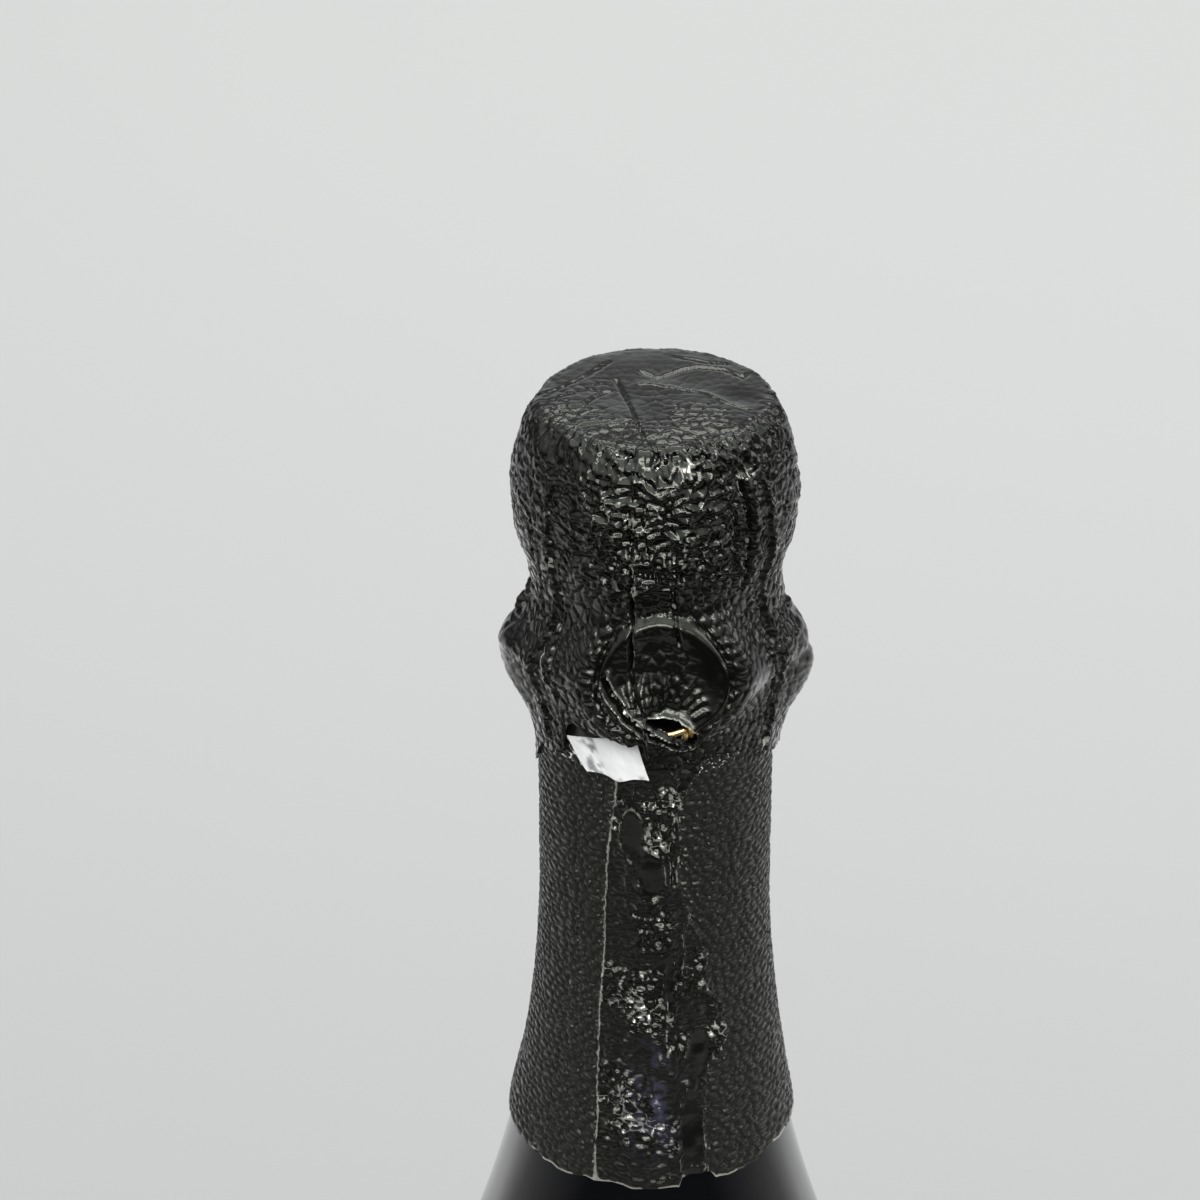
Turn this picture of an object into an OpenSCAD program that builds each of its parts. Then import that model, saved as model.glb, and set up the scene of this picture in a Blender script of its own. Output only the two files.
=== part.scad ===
/* [Bottle] */
// Height of the glass from its foot to its mouth
bottle_h = 300; // [290:1:312]
// Diameter of the straight part of the body
body_d = 88; // [84:0.5:92]
// Diameter of the neck above its flare
neck_d = 28.2; // [27.8:0.1:28.6]
// Length from the mouth down to where the neck starts to flare
neck_len = 45.5; // [42:0.5:50]
// Radius of the hollow curve between neck and shoulder
flare_r = 180; // [170:1:190]
// Radius of the round curve between shoulder and body
shoulder_r = 74.5; // [70:0.5:80]
// Thickness of the glass
wall = 4.9; // [4.4:0.1:5]
// Radius of the rounded corner at the foot
heel_r = 8; // [5:0.5:9]
// Diameter of the hollow under the foot
punt_d = 58; // [50:1:60]
// Depth of the hollow under the foot
punt_h = 30; // [22:1:36]

/* [Mouth] */
// Bore that holds the cork
bore_d = 17.8; // [17.4:0.1:18.4]
// Diameter of the lip at the mouth
lip_d = 26.6; // [26:0.1:26.8]
// Height of the lip
lip_h = 6; // [5:0.1:6.4]
// Diameter of the ring that holds the wire cage down
collar_d = 31.2; // [30.8:0.1:31.6]
// Height of that ring
collar_h = 4; // [3.4:0.1:4.2]
// Drop from the mouth to the middle of that ring
collar_drop = 10.5; // [10.2:0.1:11]
// Diameter of the groove under that ring
groove_d = 27; // [26.4:0.1:27.4]

/* [Cork] */
// Length of the cork inside the neck
cork_in = 24; // [20:0.5:28]
// Widest diameter of the cork's head
head_d = 30.5; // [30:0.1:31]
// Height of the cork's head above the mouth
head_h = 17.95; // [17:0.05:18.5]
// Radius of the barrel curve down the side of the head
head_curve = 27; // [24:1:34]
// Thickness of each disc of natural cork
disc_t = 6; // [5:0.5:7]
// Clearance of the cork in the bore
cork_gap = 0.05; // [0.03:0.01:0.08]

/* [Wire cage] */
// Diameter of the wire
wire_d = 0.85; // [0.75:0.05:0.9]
// Length of one full turn of a twisted pair
twist_pitch = 5.6; // [5:0.1:7]
// Diameter of the metal cap on the cork
plaque_d = 26.8; // [26.4:0.1:27]
// Diameter of the raised middle of the cap
plaque_dome_d = 23; // [21:0.1:23.2]
// Height of the raised middle
plaque_dome_h = 1; // [0.6:0.1:1.1]
// Depth of the cap's turned-down edge
plaque_skirt = 1.6; // [1.2:0.1:2]
// Thickness of the cap's sheet
sheet = 0.3; // [0.2:0.05:0.35]
// Mean radius of the eye at the foot of each leg
eye_r = 1.75; // [1.6:0.05:1.8]
// Direction of the front leg, from the front towards the right
front_leg = -6; // [-10:1:-4]
// Clearance between wires and what they lie on
seat = 0.1; // [0.05:0.01:0.12]

/* [Pull ring] */
// Mean diameter of the loop
loop_d = 13.5; // [12.5:0.1:14]
// Height of the loop's middle below the mouth
loop_drop = 9; // [8.8:0.1:9.2]
// How far the loop leans in towards its top
loop_lean = 13; // [11:0.5:14]
// How far the loop's sides bend back round the cage
loop_bow = 0.7; // [0.4:0.1:1]

/* [Foil] */
// Thickness of the foil
foil_t = 0.2; // [0.15:0.01:0.25]
// Height of the foil's crown above the mouth
crown_h = 20; // [19.9:0.1:20.5]
// Space between the sleeve and the glass
sleeve_gap = 0.3; // [0.27:0.01:0.35]
// Drop from the mouth to the sleeve's lower edge
sleeve_drop = 83; // [70:1:90]
// Angle that the sleeve's overlap seam covers
seam_angle = 54; // [40:1:70]
// How far the foil tents out over each eye of the cage
ear_h = 3.1; // [2.8:0.1:3.4]
// How far the foil sinks between the legs of the cage
sag = 0.9; // [0:0.1:1.1]
// Width of the tear strip and of its tab
strip_w = 4.7; // [4:0.1:5]
// Thickness of the tear strip and of its tab
strip_t = 0.2; // [0.15:0.01:0.22]
// Angle round the neck that the tear tab covers
tab_angle = 40; // [30:1:44]

/* [Hidden] */
$fn = 96;

// Bottle
body_r = body_d / 2;
neck_r = neck_d / 2;
bore_r = bore_d / 2;
lip_r = lip_d / 2;
collar_r = collar_d / 2;
groove_r = groove_d / 2;
neck_z = bottle_h - neck_len;
shoulder_a = acos(1 - (body_r - neck_r) / (flare_r + shoulder_r));
body_z = neck_z - (flare_r + shoulder_r) * sin(shoulder_a);
collar_z = bottle_h - collar_drop;
groove_z = collar_z - collar_h / 2;
groove_h = 4.3;
floor_z = 8;
floor_corner = 5.5;
floor_r = body_r - wall - floor_corner;
punt_power = 2.2;
edge_r = 1.2;
bore_past = 2;
bore_taper = 7;

// Cork
head_r = head_d / 2;
head_mid = bottle_h + 8.2;
cork_top = bottle_h + head_h;
cork_foot = bottle_h - cork_in;
stem_r = bore_r - cork_gap;
head_gap = 0.05;

// Cage: two strands lie side by side at strand_r from the pair's middle
wire_r = wire_d / 2;
strand_r = wire_r + 0.015;
pair_r = strand_r + wire_r;
stand = pair_r + seat;
plaque_r = plaque_d / 2;
plaque_seat = 0.05;
plaque_z = cork_top + plaque_seat + sheet;
plaque_lip = 0.45;
plaque_edge_r = 0.6;
ring_wire_r = plaque_dome_d / 2 + plaque_lip + wire_r + plaque_seat;
ring_wire_z = plaque_z + wire_r + plaque_seat;
leg_flat = 3.4;
leg_angles = [front_leg, 90, 180, 270];
eye_z = groove_z - eye_r - wire_r - 0.1;
eye_mid_r = groove_r + 0.7 + wire_r + eye_r;
belt_r = eye_mid_r - eye_r + wire_d + 0.05;
eye_gap_a = asin(strand_r / eye_r);

// Pull ring: the twisted stem leaves the belt at stem_angle and ends at the loop's lower right
stem_angle = 13;
loop_r = loop_d / 2;
loop_z = bottle_h - loop_drop;
loop_x = 0.6;
loop_foot_y = -(eye_mid_r + eye_r + 2 * wire_r + seat);
loop_gate = -62;
loop_gap_a = asin(strand_r / loop_r);

// Foil
crown_z = bottle_h + crown_h;
sleeve_z = bottle_h - sleeve_drop;
sleeve_top = groove_z - groove_h - 1.3;
sleeve_r = neck_r + sleeve_gap + foil_t;
seam_t = 0.15;
rim_mid = sleeve_top - 7.7;
rim_swing = 3.2;
hood_mid = collar_z - 2.5;
pleat_angles = [-48, 61];
tab_z = sleeve_top - 6.3;
tab_r = sleeve_r + seam_t + 0.3;
tab_start = -44;
tab_notch = 0.9;

function arc(x, z, r, from, to, n) =
    [for (i = [0:n]) let (a = from + (to - from) * i / n) [x + r * cos(a), z + r * sin(a)]];
function unit(v) = v / norm(v);
function last(p) = p[len(p) - 1];
function aside(v) = unit(abs(v.z) < 0.9 ? cross(v, [0, 0, 1]) : cross(v, [1, 0, 0]));
function around(p, a) = [p.x * cos(a) - p.y * sin(a), p.x * sin(a) + p.y * cos(a), p.z];

// Length along a list of points up to each of them
function lengths(p, i = 0, sum = 0) =
    i == len(p) ? [] : concat([sum + (i ? norm(p[i] - p[i - 1]) : 0)],
    lengths(p, i + 1, sum + (i ? norm(p[i] - p[i - 1]) : 0)));

// Smooth curve through a few chosen points
function curve(p, u) =
    let (
        i = min(floor(u), len(p) - 2),
        t = u - i,
        a = p[max(i - 1, 0)],
        b = p[i],
        c = p[i + 1],
        d = p[min(i + 2, len(p) - 1)]
    )
    0.5 * (2 * b + (c - a) * t + (2 * a - 5 * b + 4 * c - d) * t * t
        + (3 * b - a - 3 * c + d) * t * t * t);
function along(p, n) = [for (i = [0:n]) curve(p, i * (len(p) - 1) / n)];

// How near a direction is to another, 1 when they agree
function near(a, b, width) =
    let (d = abs(((a - b) % 360 + 540) % 360 - 180))
    exp(-pow(d / width, 2));
function nearest(a, list, width) = max([for (b = list) near(a, b, width)]);

// Radius of the cork's head at a height
function head_at(z) =
    head_r - head_curve + sqrt(pow(head_curve, 2) - pow(z - head_mid, 2));

// A wire is a tube of six sides with its rings carried along the route without twisting
module wire(p) {
    sides = 6;
    n = len(p);
    t = [for (i = [0:n - 1]) unit(p[min(i + 1, n - 1)] - p[max(i - 1, 0)])];
    v = [for (i = 0, s = aside(t[0]); i < n; i = i + 1, s = i < n ? unit(s - (s * t[i]) * t[i]) : s) s];
    points = [for (i = [0:n - 1], k = [0:sides - 1])
        p[i] + wire_r * (cos(k * 360 / sides) * v[i] + sin(k * 360 / sides) * cross(t[i], v[i]))];
    sides_faces = [for (i = [0:n - 2], k = [0:sides - 1], half = [0:1])
        let (
            a = i * sides + k,
            b = i * sides + (k + 1) % sides,
            c = a + sides,
            d = b + sides
        )
        half ? [a, c, d] : [a, d, b]];
    ends = [
        [for (k = [0:sides - 1]) k],
        [for (k = [sides - 1:-1:0]) (n - 1) * sides + k]
    ];
    polyhedron(points, concat(sides_faces, ends), convexity = 8);
}

// Two strands twisted about a route; side shifts the pair's lead by half a turn.
// The first points stay flat and untwisted, and the last lie across the given direction.
function strand(route, across, free, turn_end, side) =
    let (
        s = lengths(route),
        total = last(s),
        turns = round((total - free) / twist_pitch * 2) / 2
    )
    [for (i = [0:len(route) - 1])
        let (
            t = unit(route[min(i + 1, len(route) - 1)] - route[max(i - 1, 0)]),
            w = max(0, (s[i] - free) / (total - free)),
            a = w * (turns * 360 + turn_end),
            n = unit(cross(across, t))
        )
        route[i] + side * strand_r * (cos(a) * across + sin(a) * n)];

// Route of a leg from the cap's edge over the cork's head and the collar to its eye, at angle 0 (+X)
leg_head = [for (h = [15.2, 12.2, 8.4, 4.8, 2]) [head_at(bottle_h + h) + stand, bottle_h + h]];
leg_points = concat(
    [
        [ring_wire_r + wire_r + plaque_seat, ring_wire_z],
        [plaque_r + 0.35, ring_wire_z + 0.04],
        [plaque_r + 0.95, ring_wire_z - 0.8],
        [plaque_r + 1.3, ring_wire_z - 2]
    ],
    leg_head,
    [
        [lip_r + stand + 0.45, bottle_h - 0.4],
        [lip_r + stand + 0.02, bottle_h - 2.9],
        [lip_r + stand + 0.25, bottle_h - 5.4],
        [collar_r + stand - 0.75, collar_z + collar_h / 2 + 0.7],
        [collar_r + stand, collar_z + 0.6],
        [collar_r + stand, collar_z - 0.9],
        [eye_mid_r, eye_z + eye_r * cos(eye_gap_a)]
    ]
);
leg_steps = 52;
leg_route = [for (q = along(leg_points, leg_steps)) [q.x, 0, q.y]];
eye_steps = 15;
eye_loop = [for (i = [1:eye_steps - 1])
    let (a = 90 + eye_gap_a + (360 - 2 * eye_gap_a) * i / eye_steps)
    [eye_mid_r + eye_r * cos(a), 0, eye_z + eye_r * sin(a)]];
leg_inner = strand(leg_route, [0, 1, 0], leg_flat, 90, 1);
leg_outer = strand(leg_route, [0, 1, 0], leg_flat, 90, -1);

module leg(angle) {
    first = last(leg_inner).x < last(leg_outer).x ? leg_inner : leg_outer;
    second = last(leg_inner).x < last(leg_outer).x ? leg_outer : leg_inner;
    color("#c9a24b") rotate([0, 0, angle - 90])
        wire(concat(first, eye_loop, [for (i = [len(second) - 1:-1:0]) second[i]]));
}

// The loop bends back round the cage and leans in towards its top
function loop_at(a) =
    let (
        x = loop_r * cos(a),
        up = loop_r * (1 + sin(a))
    )
    [
        loop_x + x,
        loop_foot_y + up * sin(loop_lean) + loop_bow * pow(x / loop_r, 2),
        loop_z - loop_r + up * cos(loop_lean)
    ];
loop_steps = 40;
gate = loop_at(loop_gate);
pivot = [gate.x + 0.1, gate.y + 0.35, gate.z - 1.35];
ring_stem = along([pivot, (pivot + gate) / 2 + [0.15, -0.1, 0], gate], 5);
belt_stem = along([
    around([0, -belt_r - 0.9, eye_z - 0.1], stem_angle),
    around([0, -belt_r - 1.9, eye_z - 0.75], stem_angle),
    pivot + [0, wire_r + 2.6 * seat, 0.1]
], 10);

module pull_ring() {
    across = unit(loop_at(loop_gate + 6) - loop_at(loop_gate - 6));
    right = [for (q = ring_stem) q + across * strand_r];
    left = [for (q = ring_stem) q - across * strand_r];
    from = loop_gate + loop_gap_a * 2.2;
    to = loop_gate + 360 - loop_gap_a * 2.2;
    color("#c9a24b") wire(concat(
        right,
        [for (i = [0:loop_steps]) loop_at(from + (to - from) * i / loop_steps)],
        [for (i = [len(left) - 1:-1:0]) left[i]]
    ));
}

belt_steps = 64;

module cage_belt() {
    across = around([1, 0, 0], stem_angle);
    right = strand(belt_stem, across, 0.6, 0, 1);
    left = strand(belt_stem, across, 0.6, 0, -1);
    from = stem_angle + 5;
    to = stem_angle + 355;
    color("#c9a24b") wire(concat(
        [for (i = [len(right) - 1:-1:0]) right[i]],
        [for (i = [0:belt_steps]) around([0, -belt_r, eye_z], from + (to - from) * i / belt_steps)],
        left
    ));
}

module cage_plaque() {
    dome_r = plaque_dome_d / 2;
    top = [
        [0, plaque_z + plaque_dome_h],
        [dome_r - 0.7, plaque_z + plaque_dome_h],
        [dome_r - 0.15, plaque_z + plaque_dome_h - 0.2],
        [dome_r + 0.25, plaque_z + 0.25],
        [dome_r + plaque_lip, plaque_z],
        [plaque_r - plaque_edge_r, plaque_z]
    ];
    under = [
        [plaque_r - plaque_edge_r, plaque_z - sheet],
        [dome_r + plaque_lip - 0.05, plaque_z - sheet],
        [dome_r - 0.05, plaque_z],
        [dome_r - 0.45, plaque_z + plaque_dome_h - sheet - 0.1],
        [dome_r - 0.8, plaque_z + plaque_dome_h - sheet],
        [0, plaque_z + plaque_dome_h - sheet]
    ];
    color("#9b3a34") rotate_extrude() polygon(concat(
        top,
        arc(plaque_r - plaque_edge_r, plaque_z - plaque_edge_r, plaque_edge_r, 75, 0, 5),
        [[plaque_r, plaque_z - plaque_skirt], [plaque_r - sheet, plaque_z - plaque_skirt]],
        arc(plaque_r - plaque_edge_r, plaque_z - plaque_edge_r, plaque_edge_r - sheet, 0, 75, 4),
        under
    ));
}

module cage_top_ring() {
    color("#c9a24b") rotate_extrude() translate([ring_wire_r, ring_wire_z]) circle(wire_r);
}

// Half section of the glass: hollow foot, heel, body, shoulder, neck, collar, lip, bore and inside
module bottle_glass() {
    punt_r = punt_d / 2;
    inner_r = body_r - wall;
    floor_rise = punt_h + wall - floor_z;
    punt = [for (i = [0:14]) let (r = punt_r * i / 14) [r, punt_h * (1 - pow(r / punt_r, punt_power))]];
    floor = [for (i = [14:-1:0])
        let (r = floor_r * i / 14) [r, floor_z + floor_rise * (1 - pow(r / floor_r, punt_power))]];
    color("#1b2026") rotate_extrude() polygon(concat(
        punt,
        [[punt_r + 1, 0]],
        arc(body_r - heel_r, heel_r, heel_r, -90, 0, 8),
        arc(body_r - shoulder_r, body_z, shoulder_r, 0, shoulder_a, 14),
        arc(neck_r + flare_r, neck_z, flare_r, 180 + shoulder_a - 2, 180, 16),
        [
            [neck_r, groove_z - groove_h - 1.5],
            [neck_r - 0.15, groove_z - groove_h - 0.6],
            [groove_r, groove_z - groove_h + 0.5],
            [groove_r, groove_z - 0.3],
            [groove_r + 0.4, groove_z]
        ],
        arc(collar_r - edge_r, groove_z + edge_r, edge_r, -90, 0, 5),
        arc(collar_r - edge_r, groove_z + collar_h - edge_r, edge_r, 0, 90, 5),
        [
            [lip_r - 0.6, groove_z + collar_h + 0.25],
            [lip_r - 0.9, groove_z + collar_h + 0.8],
            [lip_r - 0.9, bottle_h - lip_h - 0.8],
            [lip_r - 0.5, bottle_h - lip_h]
        ],
        arc(lip_r - edge_r, bottle_h - lip_h + edge_r, edge_r, -70, 0, 4),
        arc(lip_r - 1.5 * edge_r, bottle_h - 1.5 * edge_r, 1.5 * edge_r, 0, 90, 6),
        arc(bore_r + 0.8, bottle_h - 0.8, 0.8, 90, 180, 4),
        [
            [bore_r, cork_foot - bore_past],
            [neck_r - wall, cork_foot - bore_past - bore_taper]
        ],
        arc(neck_r + flare_r, neck_z, flare_r + wall, 180, 180 + shoulder_a - 2, 14),
        arc(body_r - shoulder_r, body_z, shoulder_r - wall, shoulder_a, 0, 12),
        arc(floor_r, floor_z + floor_corner, floor_corner, 0, -90, 6),
        floor
    ));
}

module cork_body() {
    neck = cork_foot + 2 * disc_t;
    under = bottle_h + head_gap;
    skirt = plaque_r - sheet - 0.15;
    shoulder = plaque_z - plaque_skirt - 0.15;
    low = asin((under + edge_r - head_mid) / head_curve);
    high = asin((shoulder - 0.9 - head_mid) / head_curve);
    x = head_r - head_curve;
    color("#c79a63") rotate_extrude() polygon(concat(
        [[0, neck], [stem_r, neck], [stem_r, under]],
        arc(x + head_curve * cos(low) - edge_r, under + edge_r, edge_r, -90, low, 5),
        arc(x, head_mid, head_curve, low, high, 12),
        [[skirt, shoulder], [skirt, cork_top], [0, cork_top]]
    ));
}

module cork_disc(z, chamfer) {
    color("#d8b27c") rotate_extrude() polygon([
        [0, z],
        [stem_r - chamfer, z],
        [stem_r, z + chamfer],
        [stem_r, z + disc_t],
        [0, z + disc_t]
    ]);
}

// Sleeve of foil round the neck, with the overlap of its seam in front
module foil_sleeve() {
    drop_a = asin((neck_z - sleeve_z) / (flare_r - sleeve_gap));
    color("#232524") union() {
        rotate_extrude() polygon(concat(
            arc(neck_r + flare_r, neck_z, flare_r - sleeve_gap - foil_t, 180 + drop_a, 180, 12),
            [[sleeve_r, sleeve_top], [sleeve_r - foil_t, sleeve_top]],
            arc(neck_r + flare_r, neck_z, flare_r - sleeve_gap, 180, 180 + drop_a, 12)
        ));
        rotate([0, 0, 270 - seam_angle / 2]) rotate_extrude(angle = seam_angle) polygon(concat(
            arc(neck_r + flare_r, neck_z, flare_r - sleeve_gap - foil_t - seam_t, 180 + drop_a, 180, 12),
            [[sleeve_r + seam_t, sleeve_top], [sleeve_r - foil_t / 2, sleeve_top]],
            arc(neck_r + flare_r, neck_z, flare_r - sleeve_gap - foil_t / 2, 180, 180 + drop_a, 12)
        ));
    }
}

// Ribbon under the sleeve that cuts the foil when its tab is pulled
module tear_strip() {
    color("#b9b9b6") translate([0, 0, tab_z]) difference() {
        cylinder(r = neck_r + 0.03 + strip_t, h = strip_w);
        translate([0, 0, -1]) cylinder(r = neck_r + 0.03, h = strip_w + 2);
    }
}

// Free end of the ribbon outside the foil, with slanted ends
module tear_tab() {
    left_slant = 36;
    right_slant = 19;
    color("#cfd0cd") translate([0, 0, tab_z]) difference() {
        rotate([0, 0, 270 + tab_start]) rotate_extrude(angle = tab_angle)
            translate([tab_r, 0]) square([strip_t, strip_w]);
        rotate([0, 0, tab_start]) translate([0, -tab_r, strip_w]) rotate([0, -left_slant, 0])
            translate([-12, -3, -12]) cube([12, 6, 24]);
        rotate([0, 0, tab_start + tab_angle]) translate([0, -tab_r, 0]) rotate([0, -right_slant, 0])
            translate([0, -3, -12]) cube([12, 6, 24]);
    }
}

// Foil over cork and cage: rows run from the middle of the crown to the torn rim
leg_reach = [for (i = [len(leg_route) - 1:-1:8]) [leg_route[i].z, leg_route[i].x + pair_r]];
hood_low = [
    [rim_mid - rim_swing - 1, sleeve_r + seam_t + 0.1],
    [rim_mid, sleeve_r + seam_t + 0.5],
    [sleeve_top, tab_r + strip_t + 0.45],
    [eye_z, belt_r + wire_r + 0.35],
    [hood_mid, collar_r + stand + 0.2]
];
hood_heights = [for (h = [
    17.2, 15.8, 14, 11.4, 8.4, 5.6, 3.4, 1.5, -0.2, -1.9, -3.6, -5.2, -6.8, -8.2, -9.6, -11
]) bottle_h + h];
hood_crown = [[5, 0], [9.5, 0], [12.4, 0], [13.6, 0.08], [14.5, 0.5], [15.15, 1.5]];
hood_low_rows = 6;
hood_turns = 52;

// The torn rim hangs lower under the side eyes, and is notched round the tear tab
function rim_z(a) =
    let (
        plain = rim_mid + rim_swing * (1 - 2 * nearest(a, [90, 270], 25)),
        off = abs(((a - tab_start - tab_angle / 2) % 360 + 540) % 360 - 180),
        notch = max(0, min(1, (tab_angle / 2 + 3.5 - off) / 5))
    )
    plain + notch * (tab_z + strip_w + tab_notch - plain);

// Foil drawn over the pull ring: highest along the wire, sunk inside it, falling off outside
function ring_tent(a, z) =
    let (
        up = (z - loop_z) / cos(loop_lean),
        x = sin(a) * (belt_r + 3) - loop_x,
        d = sqrt(x * x + up * up),
        y = -loop_foot_y - (up + loop_r) * sin(loop_lean) - loop_bow * pow(min(abs(x), loop_r) / loop_r, 2),
        fade = d > loop_r + 0.9 ? exp(-pow((d - loop_r - 0.9) / 2.3, 2)) : 1,
        sink = d < loop_r - 1.2 ? min(0.5, (loop_r - 1.2 - d) * 0.25) : 0
    )
    cos(a) > 0.5 ? [fade, (y + wire_r + 0.5 - sink) / cos(a)] : [0, 0];

// Outer radius of the foil in a direction, counted from the front, and at a height
function hood_r(a, z) =
    let (
        over = z > hood_mid ? lookup(z, leg_reach) + 0.1 : lookup(z, hood_low),
        legs = nearest(a, leg_angles, 24),
        eyes = nearest(a, leg_angles, 15),
        ear = ear_h * exp(-pow((z - eye_z + 1.6) / 4.9, 2)) * eyes,
        drawn = sag * (1 - legs) * (z > hood_mid ? min(1, (z - hood_mid) / 4) : 0),
        pleat = 0.45 * nearest(a, pleat_angles, 5) * (z > hood_mid ? 1 : 0.4),
        plain = over + ear - drawn + pleat + foil_t,
        tent = ring_tent(a, z)
    )
    plain + tent[0] * max(0, tent[1] - plain);

function hood_row(k, a, out) =
    let (
        crowns = len(hood_crown),
        sides = len(hood_heights)
    )
    k < crowns
        ? [hood_crown[k].x - (out ? 0 : foil_t * k / crowns), crown_z - hood_crown[k].y - (out ? 0 : foil_t)]
        : k < crowns + sides
            ? let (z = hood_heights[k - crowns]) [hood_r(a, z) - (out ? 0 : foil_t), z]
            : let (
                t = (k - crowns - sides + 1) / hood_low_rows,
                z = last(hood_heights) + (rim_z(a) - last(hood_heights)) * t
            )
            [hood_r(a, z) - (out ? 0 : foil_t), z];

module foil_hood() {
    rows = len(hood_crown) + len(hood_heights) + hood_low_rows;
    n = hood_turns;
    shell = [for (out = [true, false], k = [0:rows - 1], i = [0:n - 1])
        let (
            a = 360 * i / n,
            q = hood_row(k, a, out)
        )
        [q.x * sin(a), -q.x * cos(a), q.y]];
    tips = [[0, 0, crown_z], [0, 0, crown_z - foil_t]];
    size = rows * n;
    top = 2 * size;
    walls = [for (s = [0:1], k = [0:rows - 2], i = [0:n - 1], half = [0:1])
        let (
            j = (i + 1) % n,
            a = s * size + k * n + i,
            b = s * size + k * n + j,
            c = a + n,
            d = b + n
        )
        s ? (half ? [a, c, d] : [a, d, b]) : (half ? [a, d, c] : [a, b, d])];
    rim = [for (i = [0:n - 1], half = [0:1])
        let (
            j = (i + 1) % n,
            a = size - n + i,
            b = size - n + j,
            c = a + size,
            d = b + size
        )
        half ? [a, d, c] : [a, b, d]];
    caps = [for (i = [0:n - 1], s = [0:1])
        let (j = (i + 1) % n)
        s ? [top + 1, size + i, size + j] : [top, j, i]];
    color("#1f2120") polyhedron(concat(shell, tips), concat(walls, rim, caps), convexity = 6);
}

bottle_glass();
cork_body();
cork_disc(cork_foot + disc_t, 0);  // cork_disc_upper
cork_disc(cork_foot, 0.6);  // cork_disc_lower
cage_plaque();
cage_top_ring();
leg(leg_angles[0]);  // cage_leg_front
leg(leg_angles[1]);  // cage_leg_right
leg(leg_angles[2]);  // cage_leg_back
leg(leg_angles[3]);  // cage_leg_left
cage_belt();
pull_ring();
foil_hood();
foil_sleeve();
tear_strip();
tear_tab();
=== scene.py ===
import math

import bpy
import numpy as np
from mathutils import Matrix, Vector


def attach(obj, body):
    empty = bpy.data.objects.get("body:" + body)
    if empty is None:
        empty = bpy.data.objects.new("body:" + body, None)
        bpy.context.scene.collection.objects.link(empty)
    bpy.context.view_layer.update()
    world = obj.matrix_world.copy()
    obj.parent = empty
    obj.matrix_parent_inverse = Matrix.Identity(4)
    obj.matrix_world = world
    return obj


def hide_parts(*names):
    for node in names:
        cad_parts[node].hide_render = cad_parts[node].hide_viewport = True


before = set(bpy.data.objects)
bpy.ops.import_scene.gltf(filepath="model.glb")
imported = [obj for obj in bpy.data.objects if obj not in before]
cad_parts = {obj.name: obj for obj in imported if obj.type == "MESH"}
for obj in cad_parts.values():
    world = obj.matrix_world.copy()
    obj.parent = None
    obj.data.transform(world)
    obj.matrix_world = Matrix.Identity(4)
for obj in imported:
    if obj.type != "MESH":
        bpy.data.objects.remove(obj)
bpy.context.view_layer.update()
print("frame loaded:", len(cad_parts), "nodes")

mm = 0.001  # shapes below are in millimetres, counted from the front (-Y) towards the right (+X)


# Number helpers

def ramp(low, high, x):
    t = np.clip((x - low) / (high - low), 0, 1)
    return t * t * (3 - 2 * t)


def bell(x, width):
    return np.exp(-(x / width) ** 2)


def turned(a, b):  # signed angle from b to a
    return (a - b + 180) % 360 - 180


def chance(i, j, seed):  # a fixed random number from 0 to 1 for each lattice cell
    n = (i.astype(np.int64) * 73856093) ^ (j.astype(np.int64) * 19349663) ^ (seed * 83492791)
    n = ((n ^ (n >> 13)) * 1274126177) & 0x7FFFFFFF
    n = ((n ^ (n >> 15)) * 668265263) & 0x7FFFFFFF
    return ((n ^ (n >> 16)) % 100003) / 100003.0


def softNoise(u, v, cell, seed, around=0):  # from -1 to 1; around is the number of cells in a full turn
    x, y = u / cell, v / cell
    i, j = np.floor(x).astype(np.int64), np.floor(y).astype(np.int64)
    fx, fy = x - i, y - j
    fx, fy = fx * fx * (3 - 2 * fx), fy * fy * (3 - 2 * fy)

    def at(a, b):
        return chance((i + a) % around if around else i + a, j + b, seed)

    low = at(0, 0) * (1 - fx) + at(1, 0) * fx
    high = at(0, 1) * (1 - fx) + at(1, 1) * fx
    return 2 * (low * (1 - fy) + high * fy) - 1


def grains(u, v, seed, around=0, jitter=0.75, uneven=0.0):
    # nearest and second nearest point of a jittered lattice, a random number for the nearest and the way to it
    i, j = np.floor(u).astype(np.int64), np.floor(v).astype(np.int64)
    first, second = np.full(u.shape, 9.0), np.full(u.shape, 9.0)
    mark, du, dv = np.zeros((3,) + u.shape)
    for dj in (-1, 0, 1):
        for di in (-1, 0, 1):
            ci, cj = i + di, j + dj
            wi = ci % around if around else ci
            x = u - (ci + 0.25 + 0.5 * (cj % 2) + jitter * (chance(wi, cj, seed) - 0.5))
            y = v - (cj + 0.5 + jitter * (chance(wi, cj, seed + 11) - 0.5))
            own = chance(wi, cj, seed + 23)
            d = np.sqrt(x * x + y * y + uneven * own)
            closer = d < first
            second = np.where(closer, first, np.minimum(second, d))
            mark, du, dv = np.where(closer, own, mark), np.where(closer, x, du), np.where(closer, y, dv)
            first = np.where(closer, d, first)
    return first, second, mark, du, dv


def pebbles(u, v, size, seed, around=0):  # raised rounded grains with narrow valleys, from 0 to 1
    first, second, mark, du, dv = grains(u / size, v / size / 0.88, seed, around)
    return ramp(0, 0.3, second - first) * (1 - 0.5 * first ** 2 + 0.25 * dv) * (0.8 + 0.2 * mark)


def crushedGrains(u, v, seed, around=0):  # grains knocked flat at odd angles, as in crushed foil
    first, second, mark, du, dv = grains(u, v, seed, around, 0.95, 0.2)
    lean = 2 * math.pi * ((mark * 7.3) % 1)
    slope = (np.cos(lean) * du + np.sin(lean) * dv) * (0.6 + mark)
    return ramp(0, 0.3, second - first) * (0.45 + 0.5 * mark + slope)


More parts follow.
